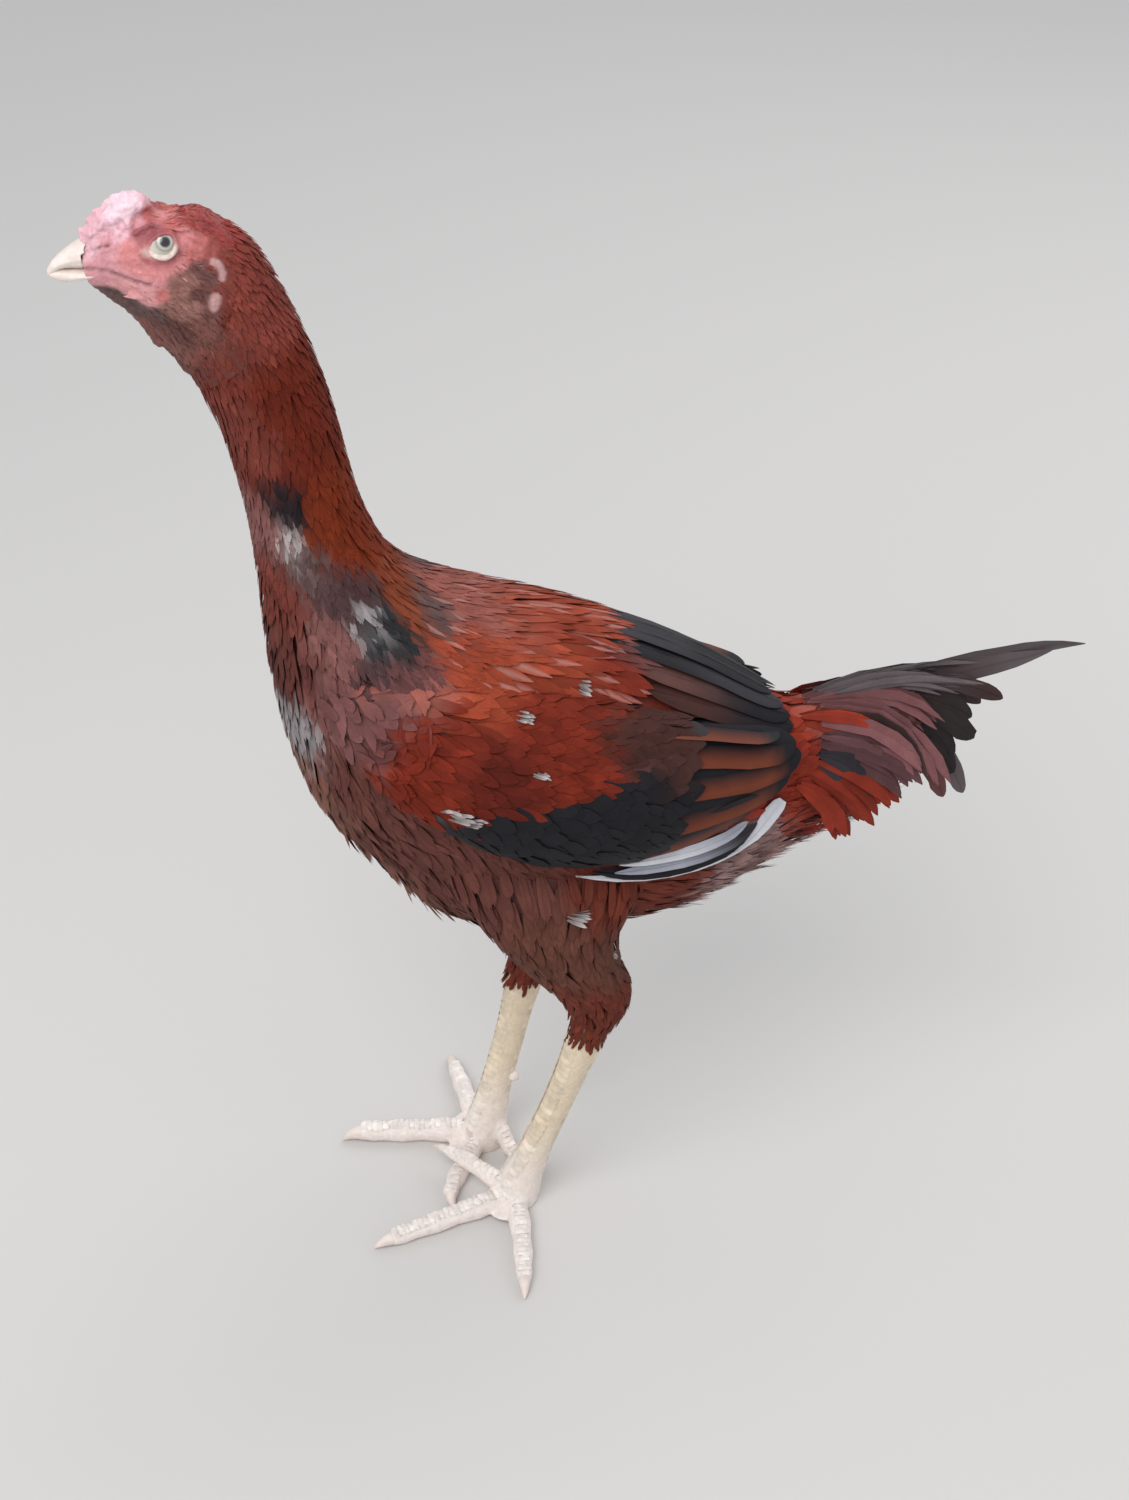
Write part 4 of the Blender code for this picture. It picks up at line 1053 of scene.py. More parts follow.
def build_leg(side_name):
    bm = bmesh.new()
    merged_copy(bm, f"shank_{side_name}", 0.3)
    for toe in ("middle", "outer", "inner", "hind"):
        merged_copy(bm, f"toe_{side_name}_{toe}", 0.3)
    for first, second, reach in WEBS:
        if not first.startswith(side_name):
            continue
        (a, b), (c, d) = (np.array(TOES[name][0][:2]) for name in (first, second))
        root, middle = (a + c) / 2, unit(unit(b - a) + unit(d - c))
        place = root + middle * reach * 0.5 + (0.0, 0.0, -1.5)
        heading = math.atan2(middle[1], middle[0])
        add_lump(bm, place, (reach * 0.62, reach * 0.62, 2.3), (0.0, 0.0, heading))
    leg = fused(bm, LEG_CELL, 3)
    ends = [(Vector(TOES[name][0][-1]), Vector(CLAW_TIPS[name]))
            for name in TOES if name.startswith(side_name)]
    for vert in leg.verts:
        for end, tip in ends:
            onward = (tip - end).normalized()
            past = (vert.co / MM - end).dot(onward) + 5.0
            if past > 0.0 and (vert.co / MM - end).length < 11.0:
                foot = end + onward * (past - 5.0)
                vert.co = (foot + (vert.co / MM - foot) * max(0.72, 1.0 - past * 0.045)) * MM
        vert.co.z = max(vert.co.z, 0.0)
    return leg


# Where the face's own colours show, and how high the legs' do.
FACE_FLOOR, FACE_BACK, LEGS_TOP = 570.0, -189.0, 150.0


def build_skin(materials):
    whole = bmesh.new()
    for number, part in enumerate((build_head(), build_trunk(), build_leg("left"), build_leg("right"))):
        for face in part.faces:
            face.material_index = min(number, 2)
            face.smooth = True
        mesh = mesh_of(part, "part")
        whole.from_mesh(mesh)
        bpy.data.meshes.remove(mesh)
    points = coords(whole)
    face = (points[:, 2] > FACE_FLOOR) & (points[:, 0] - 0.25 * (points[:, 2] - 600.0) < FACE_BACK)
    legs = points[:, 2] < LEGS_TOP
    # The skin under the coat takes the coat's hues, painted a fifth darker as shade under the feathers.
    colour = hue_at(points, MARKS) * 0.8
    colour[face] = hue_at(points[face], FACE_MARKS + MARKS[:5], 0.0, 5.0)
    for x, y, z, radius in LOBES:
        sideways = np.sign(points[:, 1:2] - MIDDLE) * (0.0, y, 0.0)
        far = np.linalg.norm(points - (x, MIDDLE, z) - sideways, axis=1)
        pale = np.exp(-(far / (radius * 1.25)) ** 4)[:, None]
        colour += pale * (np.array(HUES["lobe"]) - colour)
    colour = paint_lids(points, colour)
    # Painted shade along the mouth's closing line and in the nostril's slit.
    slit = np.exp(-(line_distance(points, MOUTH) / 1.0) ** 2)
    slit = slit + np.exp(-(line_distance(points, NOSTRIL) / 0.9) ** 2)
    colour *= 1.0 - 0.7 * np.clip(slit, 0.0, 1.0)[:, None]
    rise = np.clip((points[legs, 2] - 12.0) / 60.0, 0, 1)[:, None]
    colour[legs] = mix(np.array(HUES["foot_pink"]), np.array(HUES["leg_cream"]), rise)
    mesh = mesh_of(whole, "skin")
    store_hues(mesh, colour)
    flesh = [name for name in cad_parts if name.split("_")[0] in
             ("head", "comb", "neck", "breast", "rump", "thigh", "shank", "toe", "wing") or name == "tail"]
    return add_piece("skin", mesh, materials, flesh)


# ---------------------------------------------------------------- the coat

def tract(form, s, t, lines, facing, width, marks, spread, jitter, roll, cup, stations, shaft=None,
          fray=0.25):
    """Feathers from lines, coloured by the marks that their tips reach."""
    shade = np.exp(rng.normal(0.0, spread, (len(s), 1)))
    roots = hue_at(lines[:, 3], marks, jitter * 0.5) * shade * ROOT_SHADE
    tips = hue_at(lines[:, -1], marks, jitter) * shade
    made = Feathers(lines, facing, width / 2, roots, tips, unwrap_of(form, s, t, stations),
                    roll=rng.normal(0.0, roll, len(s)), cup=cup, shaft=shaft)
    made.fray = fray
    return made


def by_station(stations, values):
    """A measure that changes from station to station."""
    return lambda s, *_: np.interp(s, stations, values)


def amount(value, s, t):
    return value(s, t) if callable(value) else np.full(len(s), float(value))


def coat_tract(name, form, stations, turns, gap, length, width, template, material, slot, depth,
               yaw, rise, marks=MARKS, spread=0.14, shaft=None, jitter=0.22, roll=0.12, cup=0.08, cover=None,
               curl=0.0, lift=0.0, fray=0.25):
    """Feathers spread over part of a form. length, width and lift may be functions of station and turn."""
    s, t = scatter(form, stations, turns, gap)
    long = amount(length, s, t) * np.exp(rng.normal(0.0, 0.13, len(s)))
    wide = amount(width, s, t) * np.exp(rng.normal(0.0, 0.12, len(s)))
    bend = rng.normal(0.0, yaw * 0.6 + curl, len(s))
    lines, facing = lines_on(form, s, t, long, amount(depth, s, t), rng.normal(0.0, yaw, len(s)),
                             np.abs(rng.normal(0.0, rise, len(s))) + amount(lift, s, t), bend)
    feathers = tract(form, s, t, lines, facing, wide, marks, spread, jitter, roll, cup, stations,
                     shaft(s, t) if shaft else None, fray=fray)
    if cover is not None:
        buried = np.all([hidden_under(cover, lines[:, k], facing[:, k]) for k in (0, 4, -1)], axis=0)
        feathers.keep(~buried)
    return feathers.build(name, template, material, slot)


# How feathers that lie close and smooth are set.
SLEEK = {"yaw": 0.14, "rise": 0.25, "roll": 0.06, "cup": 0.05, "spread": 0.1, "fray": 0.12}


def form_marks(form, rows):
    """Marks given by station and turn on a form."""
    s, t = (np.array([row[k] for row in rows], float) for k in (0, 1))
    return tuple((p[0], abs(p[1] - MIDDLE), p[2], row[2], row[3]) for p, row in zip(form.point(s, t), rows))


# The wing's colours: station, turn, reach, hue.
WING_MARKS = (
    (0.2, 60, 14, "shoulder_brown"), (0.9, 110, 12, "shoulder_brown"), (0.7, 20, 12, "saddle_pink"),
    (1.7, 30, 12, "saddle_pink"), (2.4, 44, 9, "brick"), (1.4, 62, 11, "shoulder_brown"),
    (1.9, 94, 15, "brick"), (2.5, 30, 14, "orange_red"), (2.3, 125, 12, "brick"), (3.1, 92, 16, "deep_red"),
    (3.5, 45, 14, "brick"), (4.0, 74, 15, "brick"), (2.4, 80, 11, "brick"), (4.7, 42, 12, "umber"),
    (4.4, 12, 12, "brick"), (5.1, 18, 10, "umber"), (4.4, 100, 9, "deep_red"), (1.2, 90, 9, "mauve"),
)
BAR_MARKS = (
    (2.0, 152, 8, "tail_grey"), (2.4, 132, 8, "slate_black"), (2.9, 150, 13, "bar_black"),
    (3.6, 130, 12, "bar_black"), (4.4, 125, 13, "bar_black"), (5.2, 118, 13, "bar_black"),
    (5.0, 88, 14, "bar_black"), (5.5, 62, 11, "umber"), (5.5, 32, 10, "umber"), (5.6, 5, 10, "slate_black"),
    (6.2, 110, 12, "bar_black"), (4.7, 62, 9, "shoulder_brown"),
)
# Where the wing's red coverts end and its dark bar starts: stations and the turn there.
BAR_EDGE = ((1.6, 2.0, 2.6, 3.5, 4.2, 4.8, 5.2, 5.5), (165, 144, 120, 99, 80, 60, 35, -20))
# Dark innermost quills that lie over the rear of the back: station and turn of root and tip, half width, hue.
TERTIALS = (
    (18.9, 4, 22.6, 5, 8.0, "slate_black", "bar_black"),
    (19.0, 13, 22.9, 12, 8.0, "bar_black", "slate_black"),
    (19.4, 22, 23.1, 19.5, 7.8, "umber_pink", "bar_black"),
    (19.9, 30, 23.2, 26.5, 8.2, "umber", "bar_black"),
)
SECONDARIES = 5
# White outer quills along the folded wing's lower edge: the path's x, distance from the middle, z.
LONG_PRIMARY = (
    (-38.8, 61.6, 278.9), (-25.1, 61.2, 274.8), (-13.7, 59.5, 271.6), (9.1, 57.0, 268.4), (32.4, 53.0, 267.7),
    (44.5, 49.6, 267.9), (56.7, 45.9, 269.3), (62.7, 44.4, 272.7), (74.5, 40.2, 285.5), (81.7, 37.5, 292.6),
)
SHORT_PRIMARIES = (
    (
        ((-16.0, 64.5, 285.0), (4.0, 62.0, 283.5), (25.5, 58.4, 282.5),
         (46.0, 52.0, 283.5), (60.0, 45.0, 287.0)),
        3.6, "quill_white", "quill_blue"),
    (
        ((-18.0, 63.5, 279.0), (4.0, 61.0, 276.5), (28.0, 56.5, 275.0),
         (52.0, 49.0, 277.0), (66.0, 43.0, 284.0)),
        3.4, "quill_blue", "slate_black"),
    (
        ((-30.0, 63.5, 282.0), (-5.0, 61.0, 274.0), (20.0, 57.5, 271.5),
         (45.0, 51.0, 273.0), (63.0, 44.0, 280.0)),
        4.2, "bar_black", "bar_black"),
)
# Small white down tips that stand out of the coat: x, distance from the middle, z, length.
WHITE_TIPS = (
    (-68, 65, 386, 7), (-64, 79, 360, 8), (-34, 47, 387, 7), (-112, 80, 346, 12), (-44, 72, 257, 11),
    (-105, 82, 341, 10), (-99, 82, 338, 8), (-30, 60, 240, 7), (-20, 58, 215, 6),
)
# Tail quills: path's x and z, sideways place of root and tip, half width, hue near the root and at the tip.
TAIL_QUILLS = (
    (((117, 327), (156, 333.5), (190, 339.0), (217, 341.5), (245, 342.5), (268.0, 340.0)), 2.0, 4.5, 9.5,
     "tail_grey", "tail_grey"),
    (((117, 322), (156, 328.0), (184, 332.0), (204, 334.5), (226, 337.0), (247.0, 340.5)), 1.0, 1.5, 8.6,
     "tail_brown", "tail_grey"),
    (((126, 327), (165, 331), (196, 327), (219, 315)), 1.0, -3.5, 6.0, "tail_grey", "tail_brown"),
    (((128, 324), (165, 327), (192, 320), (211, 305)), 4.0, 8.0, 5.8, "tail_brown", "tail_brown"),
    (((130, 318), (160, 318), (185, 309), (203, 293)), -3.0, -7.5, 8.0, "tail_soot", "tail_soot"),
    (((128, 322), (160, 324), (184, 318), (201, 306)), -1.0, -5.0, 7.4, "tail_brown", "tail_soot"),
    (((132, 314), (160, 312), (180, 300), (190, 282)), -4.5, -8.8, 8.0, "tail_soot", "tail_dark"),
    (((130, 316), (160, 316), (182, 306), (197, 289)), 6.0, 9.5, 7.6, "tail_dark", "tail_dark"),
    (((134, 311), (160, 306), (180, 291), (192, 272)), -6.0, -10.0, 7.4, "tail_brown", "tail_dark"),
    (((134, 309), (160, 303), (181, 287), (194, 266)), 7.0, 12.0, 7.0, "tail_brown", "tail_dark"),
    (((136, 304), (162, 301), (186, 284), (201, 254)), -4.0, -6.5, 6.4, "tail_grey", "tail_grey"),
    (((136, 300), (160, 293), (178, 276), (187, 257)), -7.0, -11.5, 5.8, "tail_brown", "mauve"),
    (((136, 300), (160, 293), (176, 274), (184, 259)), 6.0, 10.5, 5.8, "tail_brown", "tail_dark"),
)
# Drooping coverts at the tail's root, on both sides: path's x, distance from the middle, z; half width; hue.
TAIL_HACKLES = (
    (((112, 8, 329), (140, 12, 326), (160, 17, 312), (172, 20, 294), (178, 20, 281)), 8.2, "tail_mauve"),
    (((108, 16, 322), (134, 21, 318), (152, 24, 305), (163, 25, 289)), 8.4, "tail_mauve"),
    (((104, 3, 331), (134, 4, 333), (160, 8, 327), (178, 10, 311)), 7.6, "tail_mauve"),
    (((110, 2, 333), (138, 2, 337), (164, 4, 336), (186, 5, 328)), 5.0, "tail_grey"),
    (((120, 4, 334), (146, 4, 338), (172, 4, 338), (196, 5, 333)), 5.0, "tail_grey"),
    (((98, 12, 325), (112, 15, 325), (127, 17, 321), (143, 18, 312)), 5.6, "rump_red"),
    (((106, 22, 312), (128, 26, 305), (145, 27, 293), (153, 26, 281)), 8.6, "mauve_grey"),
    (((110, 20, 317), (134, 24, 311), (151, 25, 299), (160, 24, 285)), 8.6, "mauve_grey"),
    (((104, 25, 304), (124, 28, 296), (139, 28, 283), (148, 26, 268)), 9.0, "rump_red"),
    (((98, 28, 300), (115, 31, 291), (127, 30, 277), (135, 27, 263)), 9.0, "rump_red"),
    (((104, 24, 308), (120, 27.5, 301), (128, 27, 288), (131, 26, 276)), 9.0, "slate_black"),
    (((92, 33, 296), (105, 35, 286), (113, 34, 272), (117, 32, 260)), 9.0, "rump_red"),
    (((112, 12, 327), (143, 16, 321), (161, 20, 304), (167, 21, 285)), 5.0, "tail_brown"),
)


def paint_secondary(side):
    """Chestnut outer web, black inner web and tip."""
    def paint(colour, across, along):
        inner = np.clip((-side * across + 0.22 - 0.10 * along) * 9.0, 0.0, 1.0)
        end = np.clip((along - 0.865 + 0.03 * across * side) * 22.0, 0.0, 1.0)
        return mix(colour, np.array(HUES["bar_black"]), np.maximum(inner, end))
    return paint


def hues_of(rows, column):
    return np.array([HUES[row[column]] for row in rows])


def build_wing(side, mark, plumage, gloss):
    form = wing_form(side)
    slot = "loose_plumage"
    share = np.linspace(0.0, 1.0, SECONDARIES)
    start = np.stack((np.full(SECONDARIES, 3.7), 18.0 + 122.0 * share), axis=1)
    end = np.stack((8.25 - 0.75 * (2 * share - 0.9) ** 2, 10.0 + 142.0 * share), axis=1)
    lines, facing = lines_between(form, start, end, -8.0 - 2.5 * (1 - share) ** 2, -0.4 + 2.4 * (1 - share))
    hues = vary(np.array([HUES["chestnut"]] * SECONDARIES), 0.08)
    quills = Feathers(lines, facing, np.full(SECONDARIES, 12.5), hues, hues, unwrap_of(form, *start.T),
                      thick=QUILL_THICK, cup=0.10, roll=np.full(SECONDARIES, side * 0.13))
    quills.fray = 0.06
    quills.paint = paint_secondary(side)
    quills.build(f"secondaries_{mark}", BROAD_QUILL, gloss, slot)

    rows = np.array([row[:5] for row in TERTIALS])
    rows[:, (1, 3)] *= -side
    rank = np.arange(len(rows))[::-1]
    body = body_form()
    lines, facing = lines_between(body, rows[:, :2], rows[:, 2:4], -4.0 + 0.4 * rank, 0.6 + 0.6 * rank, 2.2)
    roots, tips = (hues_of(TERTIALS, k) for k in (5, 6))
    quills = Feathers(lines, facing, rows[:, 4], roots, tips, unwrap_of(body, rows[:, 0], rows[:, 1]),
                      thick=QUILL_THICK, cup=0.14, roll=np.full(len(rows), side * 0.10))
    quills.turn_colour = (0.35, 0.62)
    quills.fray = 0.08
    quills.build(f"tertials_{mark}", BROAD_QUILL, gloss, slot)

    rows = ((LONG_PRIMARY, 5.0, "quill_white", "quill_white"),) + SHORT_PRIMARIES
    paths = np.array([[(x, MIDDLE + side * (y + 2.2), z - 0.5) for x, y, z in along_path(row[0], 16)]
                      for row in rows])
    facing = np.tile(unit(np.array((0.0, side, 0.25))), (len(paths), paths.shape[1], 1))
    roots, tips = (hues_of(rows, k) for k in (2, 3))
    halves = np.array([row[1] for row in rows])
    spots = np.stack((np.linspace(0.4, 0.6, len(paths)), np.full(len(paths), 0.9)), axis=1)
    for label, template, chosen in (("worn_primary", WORN_QUILL, slice(0, 1)),
                                    ("primaries", BROAD_QUILL, slice(1, None))):
        quills = Feathers(paths[chosen], facing[chosen], halves[chosen], roots[chosen], tips[chosen],
                          spots[chosen], thick=QUILL_THICK, cup=0.1)
        quills.fray = 0.12
        quills.build(f"{label}_{mark}", template, gloss, slot)

    red, dark = (form_marks(form, rows) for rows in (WING_MARKS, BAR_MARKS))
    bar_edge = by_station(*BAR_EDGE)
    coat_tract(f"wing_bar_{mark}", form, (1.7, 5.2),
               lambda s: (bar_edge(s) - 8.0, np.interp(s, (1.7, 2.6, 5.3), (160, 172, 150))),
               5.8, by_station((1.7, 3.5, 5.2), (28, 36, 27)), 12.0, COVERT, gloss, slot, 3.6,
               yaw=0.07, rise=0.3, marks=dark, spread=0.08, jitter=0.12, roll=0.05)
    coat_tract(f"wing_bow_{mark}", form, (0.6, 5.0),
               lambda s: (np.full_like(s, -24.0), bar_edge(s) - 5.0),
               4.3, by_station((0.6, 3, 5.6), (24, 32, 30)),
               by_station((0.6, 3, 5.6), (6.8, 7.8, 8.0)), COVERT, plumage, slot, 3.2,
               yaw=0.09, rise=0.2, marks=red, spread=0.09, jitter=0.12, roll=0.05, cup=0.05)
    coat_tract(f"shoulder_{mark}", form, (-0.4, 1.6), (-10, 165), 4.4, 14.0, 7.2, COVERT, plumage, slot, 2.4,
               yaw=0.4, rise=1.1, marks=red, spread=0.10, roll=0.22, cup=0.16, curl=0.4, fray=0.4, lift=0.4)


def build_tail(gloss, loose):
    paths = np.array([along_path([(x, MIDDLE + y0 + (y1 - y0) * k / (len(path) - 1), z)
                                  for k, (x, z) in enumerate(path)])
                      for path, y0, y1, *_ in TAIL_QUILLS])
    outward = [LEFT if row[2] < MIDDLE + 1.0 else RIGHT for row in TAIL_QUILLS]
    facing = np.array([np.tile(unit(np.array((0.0, out, 0.3))), (KNOTS, 1)) for out in outward])
    roots, tips = (hues_of(TAIL_QUILLS, k) for k in (4, 5))
    halves = np.array([row[3] for row in TAIL_QUILLS])
    spots = np.stack((np.linspace(0.3, 0.7, len(paths)), np.full(len(paths), 0.97)), axis=1)
    for name, template, chosen in (("sickle_feather", TAPERED_QUILL, slice(0, 2)),
                                   ("tail_quills", BROAD_QUILL, slice(2, None))):
        quills = Feathers(paths[chosen], facing[chosen], halves[chosen], roots[chosen], tips[chosen],
                          spots[chosen], thick=QUILL_THICK, cup=0.16)
        quills.fray = 0.34
        piece, = quills.build(name, template, gloss, "quill_feathers")
        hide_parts("tail_long_feather" if name == "sickle_feather" else "tail_fan")

    lines, halves, hues, facing = [], [], [], []
    for path, half, hue in TAIL_HACKLES:
        for side in (LEFT, RIGHT):
            for _ in range(HACKLES_PER_PATH):
                moved = np.array([(x, MIDDLE + side * y, z) for x, y, z in path])
                shift = np.clip(rng.normal(0.0, 1.0, 3), -1.4, 1.4) * (3.0, 2.2, 2.4)
                moved += shift * np.linspace(0.6, 1.8, len(moved))[:, None]
                lines.append(along_path(moved))
                facing.append(np.tile(unit(np.array((0.2, side, 0.45))), (KNOTS, 1)))
                halves.append(half * rng.uniform(0.42, 0.62))
                hues.append(HUES[hue])
    hues = vary(np.array(hues), 0.16)
    spots = np.stack((rng.uniform(0.3, 0.7, len(lines)), np.full(len(lines), 0.9)), axis=1)
    halves = np.array(halves)
    for name, template, chosen in (("tail_hackles", LONG_FEATHER, halves < BROAD_HACKLE),
                                   ("tail_coverts", COVERT, halves >= BROAD_HACKLE)):
        # Roots painted a fifth darker: painted shade under the hackles that lie over them.
        hackles = Feathers(np.array(lines)[chosen], np.array(facing)[chosen], halves[chosen],
                           hues[chosen] * 0.8, hues[chosen], spots[chosen], cup=0.2,
                           roll=rng.normal(0.0, 0.25, int(chosen.sum())))
        hackles.fray = 0.45
        hackles.build(name, template, loose, "loose_plumage")


def build_head_feathers(material, skin_tree):
    """Short bristly feathers on the ears, cheeks, crown and throat, laid on the skin."""
    body = body_form()
    rows = (
        ("ear_feathers", (4.15, 6.9), (58, 112), 1.5, 4.6, 1.0, 0.35),
        ("ear_feathers", (4.15, 6.9), (-112, -58), 1.5, 4.6, 1.0, 0.35),
        ("crown_feathers", (3.45, 5.2), (-38, 38), 1.4, 4.0, 1.1, 0.08),
        ("cheek_bristles", (2.6, 4.4), (84, 116), 2.1, 3.2, 0.6, 0.3),
        ("cheek_bristles", (2.6, 4.4), (-116, -84), 2.1, 3.2, 0.6, 0.3),
        ("throat_feathers", (3.0, 8.2), (112, 248), 2.3, 5.5, 1.2, 0.4),
    )
    for number, (name, stations, turns, gap, length, width, rise) in enumerate(rows):
        s, t = scatter(body, stations, turns, gap)
        long = length * np.exp(rng.normal(0.0, 0.15, len(s)))
        lines, _ = lines_on(body, s, t, long, 0.0, rng.normal(0.0, 0.25, len(s)))
        marks = FACE_MARKS + MARKS[:8]
        slope = np.linspace(0.0, 1.0, KNOTS)[None, :] ** 1.2
        heights = -0.3 + (0.5 + rise * rng.random((len(s), 1))) * slope
        lines, facing = settle(lines, skin_tree, heights)
        feathers = tract(body, s, t, lines, facing, np.full(len(s), width), marks,
                         0.25, 0.25, 0.3, 0.2, stations)
        flat = np.abs(lines - (0.0, MIDDLE, 0.0))
        flat[:, :, 0] *= -1.0
        clear = np.ones(len(s), bool)
        for x, y, z, radius in LOBES:
            clear &= np.linalg.norm(flat - (x, y, z), axis=2).min(axis=1) > radius * 1.15
        feathers.keep(clear)
        feathers.thick = 0.12
        template = LONG_FEATHER if width > 0.8 else BRISTLE
        feathers.build(f"{name}_{number + 1}", template, material, "body_plumage")


def build_white_tips(material):
    """Tufts of white down that show between the coverts."""
    lines, facing, halves, spots = [], [], [], []
    for x, y, z, length in WHITE_TIPS:
        for side in (LEFT, RIGHT):
            for _ in range(BARBS_PER_TUFT):
                place = np.array((x, MIDDLE + side * y, z)) + rng.normal(0.0, 1.2, 3)
                out = np.array((0.0, side, 0.25 if z > 300 else -0.1))
                heading = unit(np.array((1.0, 0.0, -0.25)) + rng.normal(0.0, 0.15, 3))
                share = np.linspace(0.0, 1.0, KNOTS)[:, None]
                reach = length * rng.uniform(0.7, 1.1)
                lines.append(place - out * 2.6 + heading * reach * share + out * 3.0 * share ** 0.7)
                facing.append(np.tile(unit(out), (KNOTS, 1)))
                halves.append(length * 0.14)
                spots.append((0.5 + 0.3 * side, 0.5))
    hues = vary(np.tile(np.array(HUES["white_down"]) * 1.1, (len(lines), 1)), 0.15)
    # Roots painted much darker: painted shade where the tufts come out of the coat.
    tips = Feathers(np.array(lines), np.array(facing), np.array(halves), hues * 0.45, hues,
                    np.array(spots), cup=0.1, roll=rng.normal(0.0, 0.15, len(lines)))
    tips.build("white_down_tips", SOFT_FEATHER, material, "loose_plumage")


# How far round the neck the hackle reaches: stations and the turn there.
HACKLE_EDGE = ((4.1, 4.6, 5.2, 6.5, 7.6, 12.5, 13.5, 15.0, 16.2), (30, 52, 70, 135, 180, 180, 120, 85, 50))


def build_coat(skin_tree):
    plumage = feather_material("body_plumage", barbs=1.2, depth=0.5, mottle=0.7)
    loose = feather_material("loose_plumage", barbs=1.0, depth=0.5, mottle=0.6, rough=-0.05, coat=0.02)
    gloss = feather_material("quill_gloss", barbs=1.1, depth=0.6, mottle=0.35, rough=-0.15, coat=0.06)
    down = feather_material("soft_down", barbs=0.8, depth=0.7, mottle=0.4, sheen=0.15, rough=0.15)
    body = body_form()
    wings = cover_of("wing_left", "wing_right")
    thighs = cover_of("thigh_left", "thigh_right", "wing_left", "wing_right")
    soft = "loose_plumage"

    def hackle_turns(s):
        edge = np.interp(s, *HACKLE_EDGE)
        return -edge, edge

    coat_tract("breast_feathers", body, (12.0, 20.6), (56, 304), by_station((12, 15, 18), (3.4, 4.0, 4.8)),
               by_station((12.3, 15, 18, 21), (17, 24, 32, 36)),
               by_station((12, 15, 18), (5.6, 7.0, 8.5)),
               SOFT_FEATHER, plumage, "body_plumage", 4.2, cover=wings, **SLEEK)
    coat_tract("flank_feathers", body, (19.4, 23.2), (66, 294), 5.8, 32.0, 8.5,
               SOFT_FEATHER, plumage, soft, 4.2, cover=thighs, **SLEEK)
    coat_tract("vent_fluff", body, (22.0, 26.0), (100, 260), 4.8, 24.0, 4.6, DOWN_TUFT, down, soft, 4.0,
               yaw=0.3, rise=2.4, roll=0.4)
    coat_tract("keel_feathers", body, (17.8, 20.3), (146, 214), 5.2, 25.0, 6.0,
               SOFT_FEATHER, plumage, soft, 4.0, yaw=0.3, rise=2.6, roll=0.25)
    coat_tract("rump_feathers", body, (21.6, 25.6), (-108, 108), 5.6,
               by_station((20.6, 26), (30, 34)), 8.4, COVERT, loose, soft, 4.5,
               yaw=0.12, rise=1.0, spread=0.12, cover=wings, fray=0.45)
    for side, mark in SIDES:
        form = thigh_form(side)
        coat_tract(f"thigh_feathers_{mark}", form, (0.2, 6.0), (0, 360), by_station((0, 6), (5.6, 3.8)),
                   by_station((0, 3, 5, 6), (28, 24, 15, 9)),
                   by_station((0, 3, 6), (9.0, 7.5, 4.2)), SOFT_FEATHER, plumage, "body_plumage",
                   by_station((0, 5, 6), (3.8, 3.5, 2.6)), **SLEEK)
        build_wing(side, mark, plumage, gloss)
    coat_tract("back_feathers", body, (14.6, 19.0), (-56, 56), 5.2,
               by_station((14.6, 16.5, 19.0), (30, 42, 34)), 7.0, LONG_FEATHER, loose, soft, 3.6,
               yaw=0.06, rise=0.3, spread=0.1, jitter=0.15, roll=0.06, cup=0.06,
               shaft=lambda s, t: (rng.random(len(s)) < 0.25) * 0.7)
    coat_tract("hackle", body, (4.1, 16.0), hackle_turns, by_station((4.1, 6, 15), (1.7, 2.15, 3.4)),
               by_station((3.4, 5, 8, 12, 15), (6, 8.5, 16, 27, 37)),
               by_station((3.4, 6, 10, 15), (1.7, 2.4, 4.0, 5.4)),
               HACKLE_FEATHER, plumage, "body_plumage", by_station((3.4, 6, 10, 15), (0.8, 1.8, 3.2, 4)),
               yaw=0.05, rise=0.12, spread=0.07, jitter=0.15, roll=0.03, cup=0.03, fray=0.12,
               lift=lambda s, t: 0.9 * np.exp(-((s - 6.8) / 2.6) ** 2) * np.exp(-(t / 75.0) ** 4))
    build_tail(gloss, loose)
    build_head_feathers(plumage, skin_tree)
    build_white_tips(down)


# ---------------------------------------------------------------- legs, beak, claws and eyes

# Shank from hock to foot: x, distance from the middle, z, half depth, half width.
SHANKS = {
    LEFT: ((-24.4, 35.0, 146.0, 9.0, 8.0), (-26.4, 35.0, 134.0, 10.8, 9.6), (-33.4, 34.0, 112.0, 9.4, 8.2),
           (-43.4, 31.5, 80.0, 8.7, 7.8), (-54.4, 29.0, 48.0, 9.2, 8.4), (-61.4, 27.0, 27.0, 11.2, 10.6),
           (-65.4, 26.0, 13.0, 13.5, 12.5)),
    RIGHT: ((-47.4, 35.0, 136.0, 9.0, 8.0), (-48.4, 35.0, 124.0, 10.8, 9.6), (-53.4, 34.0, 104.0, 9.4, 8.2),
            (-60.4, 31.5, 76.0, 8.7, 7.8), (-68.4, 29.0, 47.0, 9.2, 8.4), (-73.4, 27.0, 27.0, 11.2, 10.6),
            (-76.4, 26.0, 13.0, 13.5, 12.5)),
}


def shank_form(side):
    return Form([(x, MIDDLE + side * y, z, -fore, 0.0, -0.28 * fore, 0.0, side * wide, 0.0, 0.0)
                 for x, y, z, fore, wide in SHANKS[side]])


def toe_form(name):
    line, base, nail = TOES[name]
    line = np.array(line)
    rings = []
    for k, point in enumerate(line):
        onward = unit(line[min(k + 1, 3)] - line[max(k - 1, 0)])
        across = unit(np.cross(onward, (0.0, 0.0, 1.0)))
        radius = base + (nail - base) * k / 3
        rings.append([*point, *(np.cross(across, onward) * radius), *(across * radius), 0.0])
    return Form(rings)


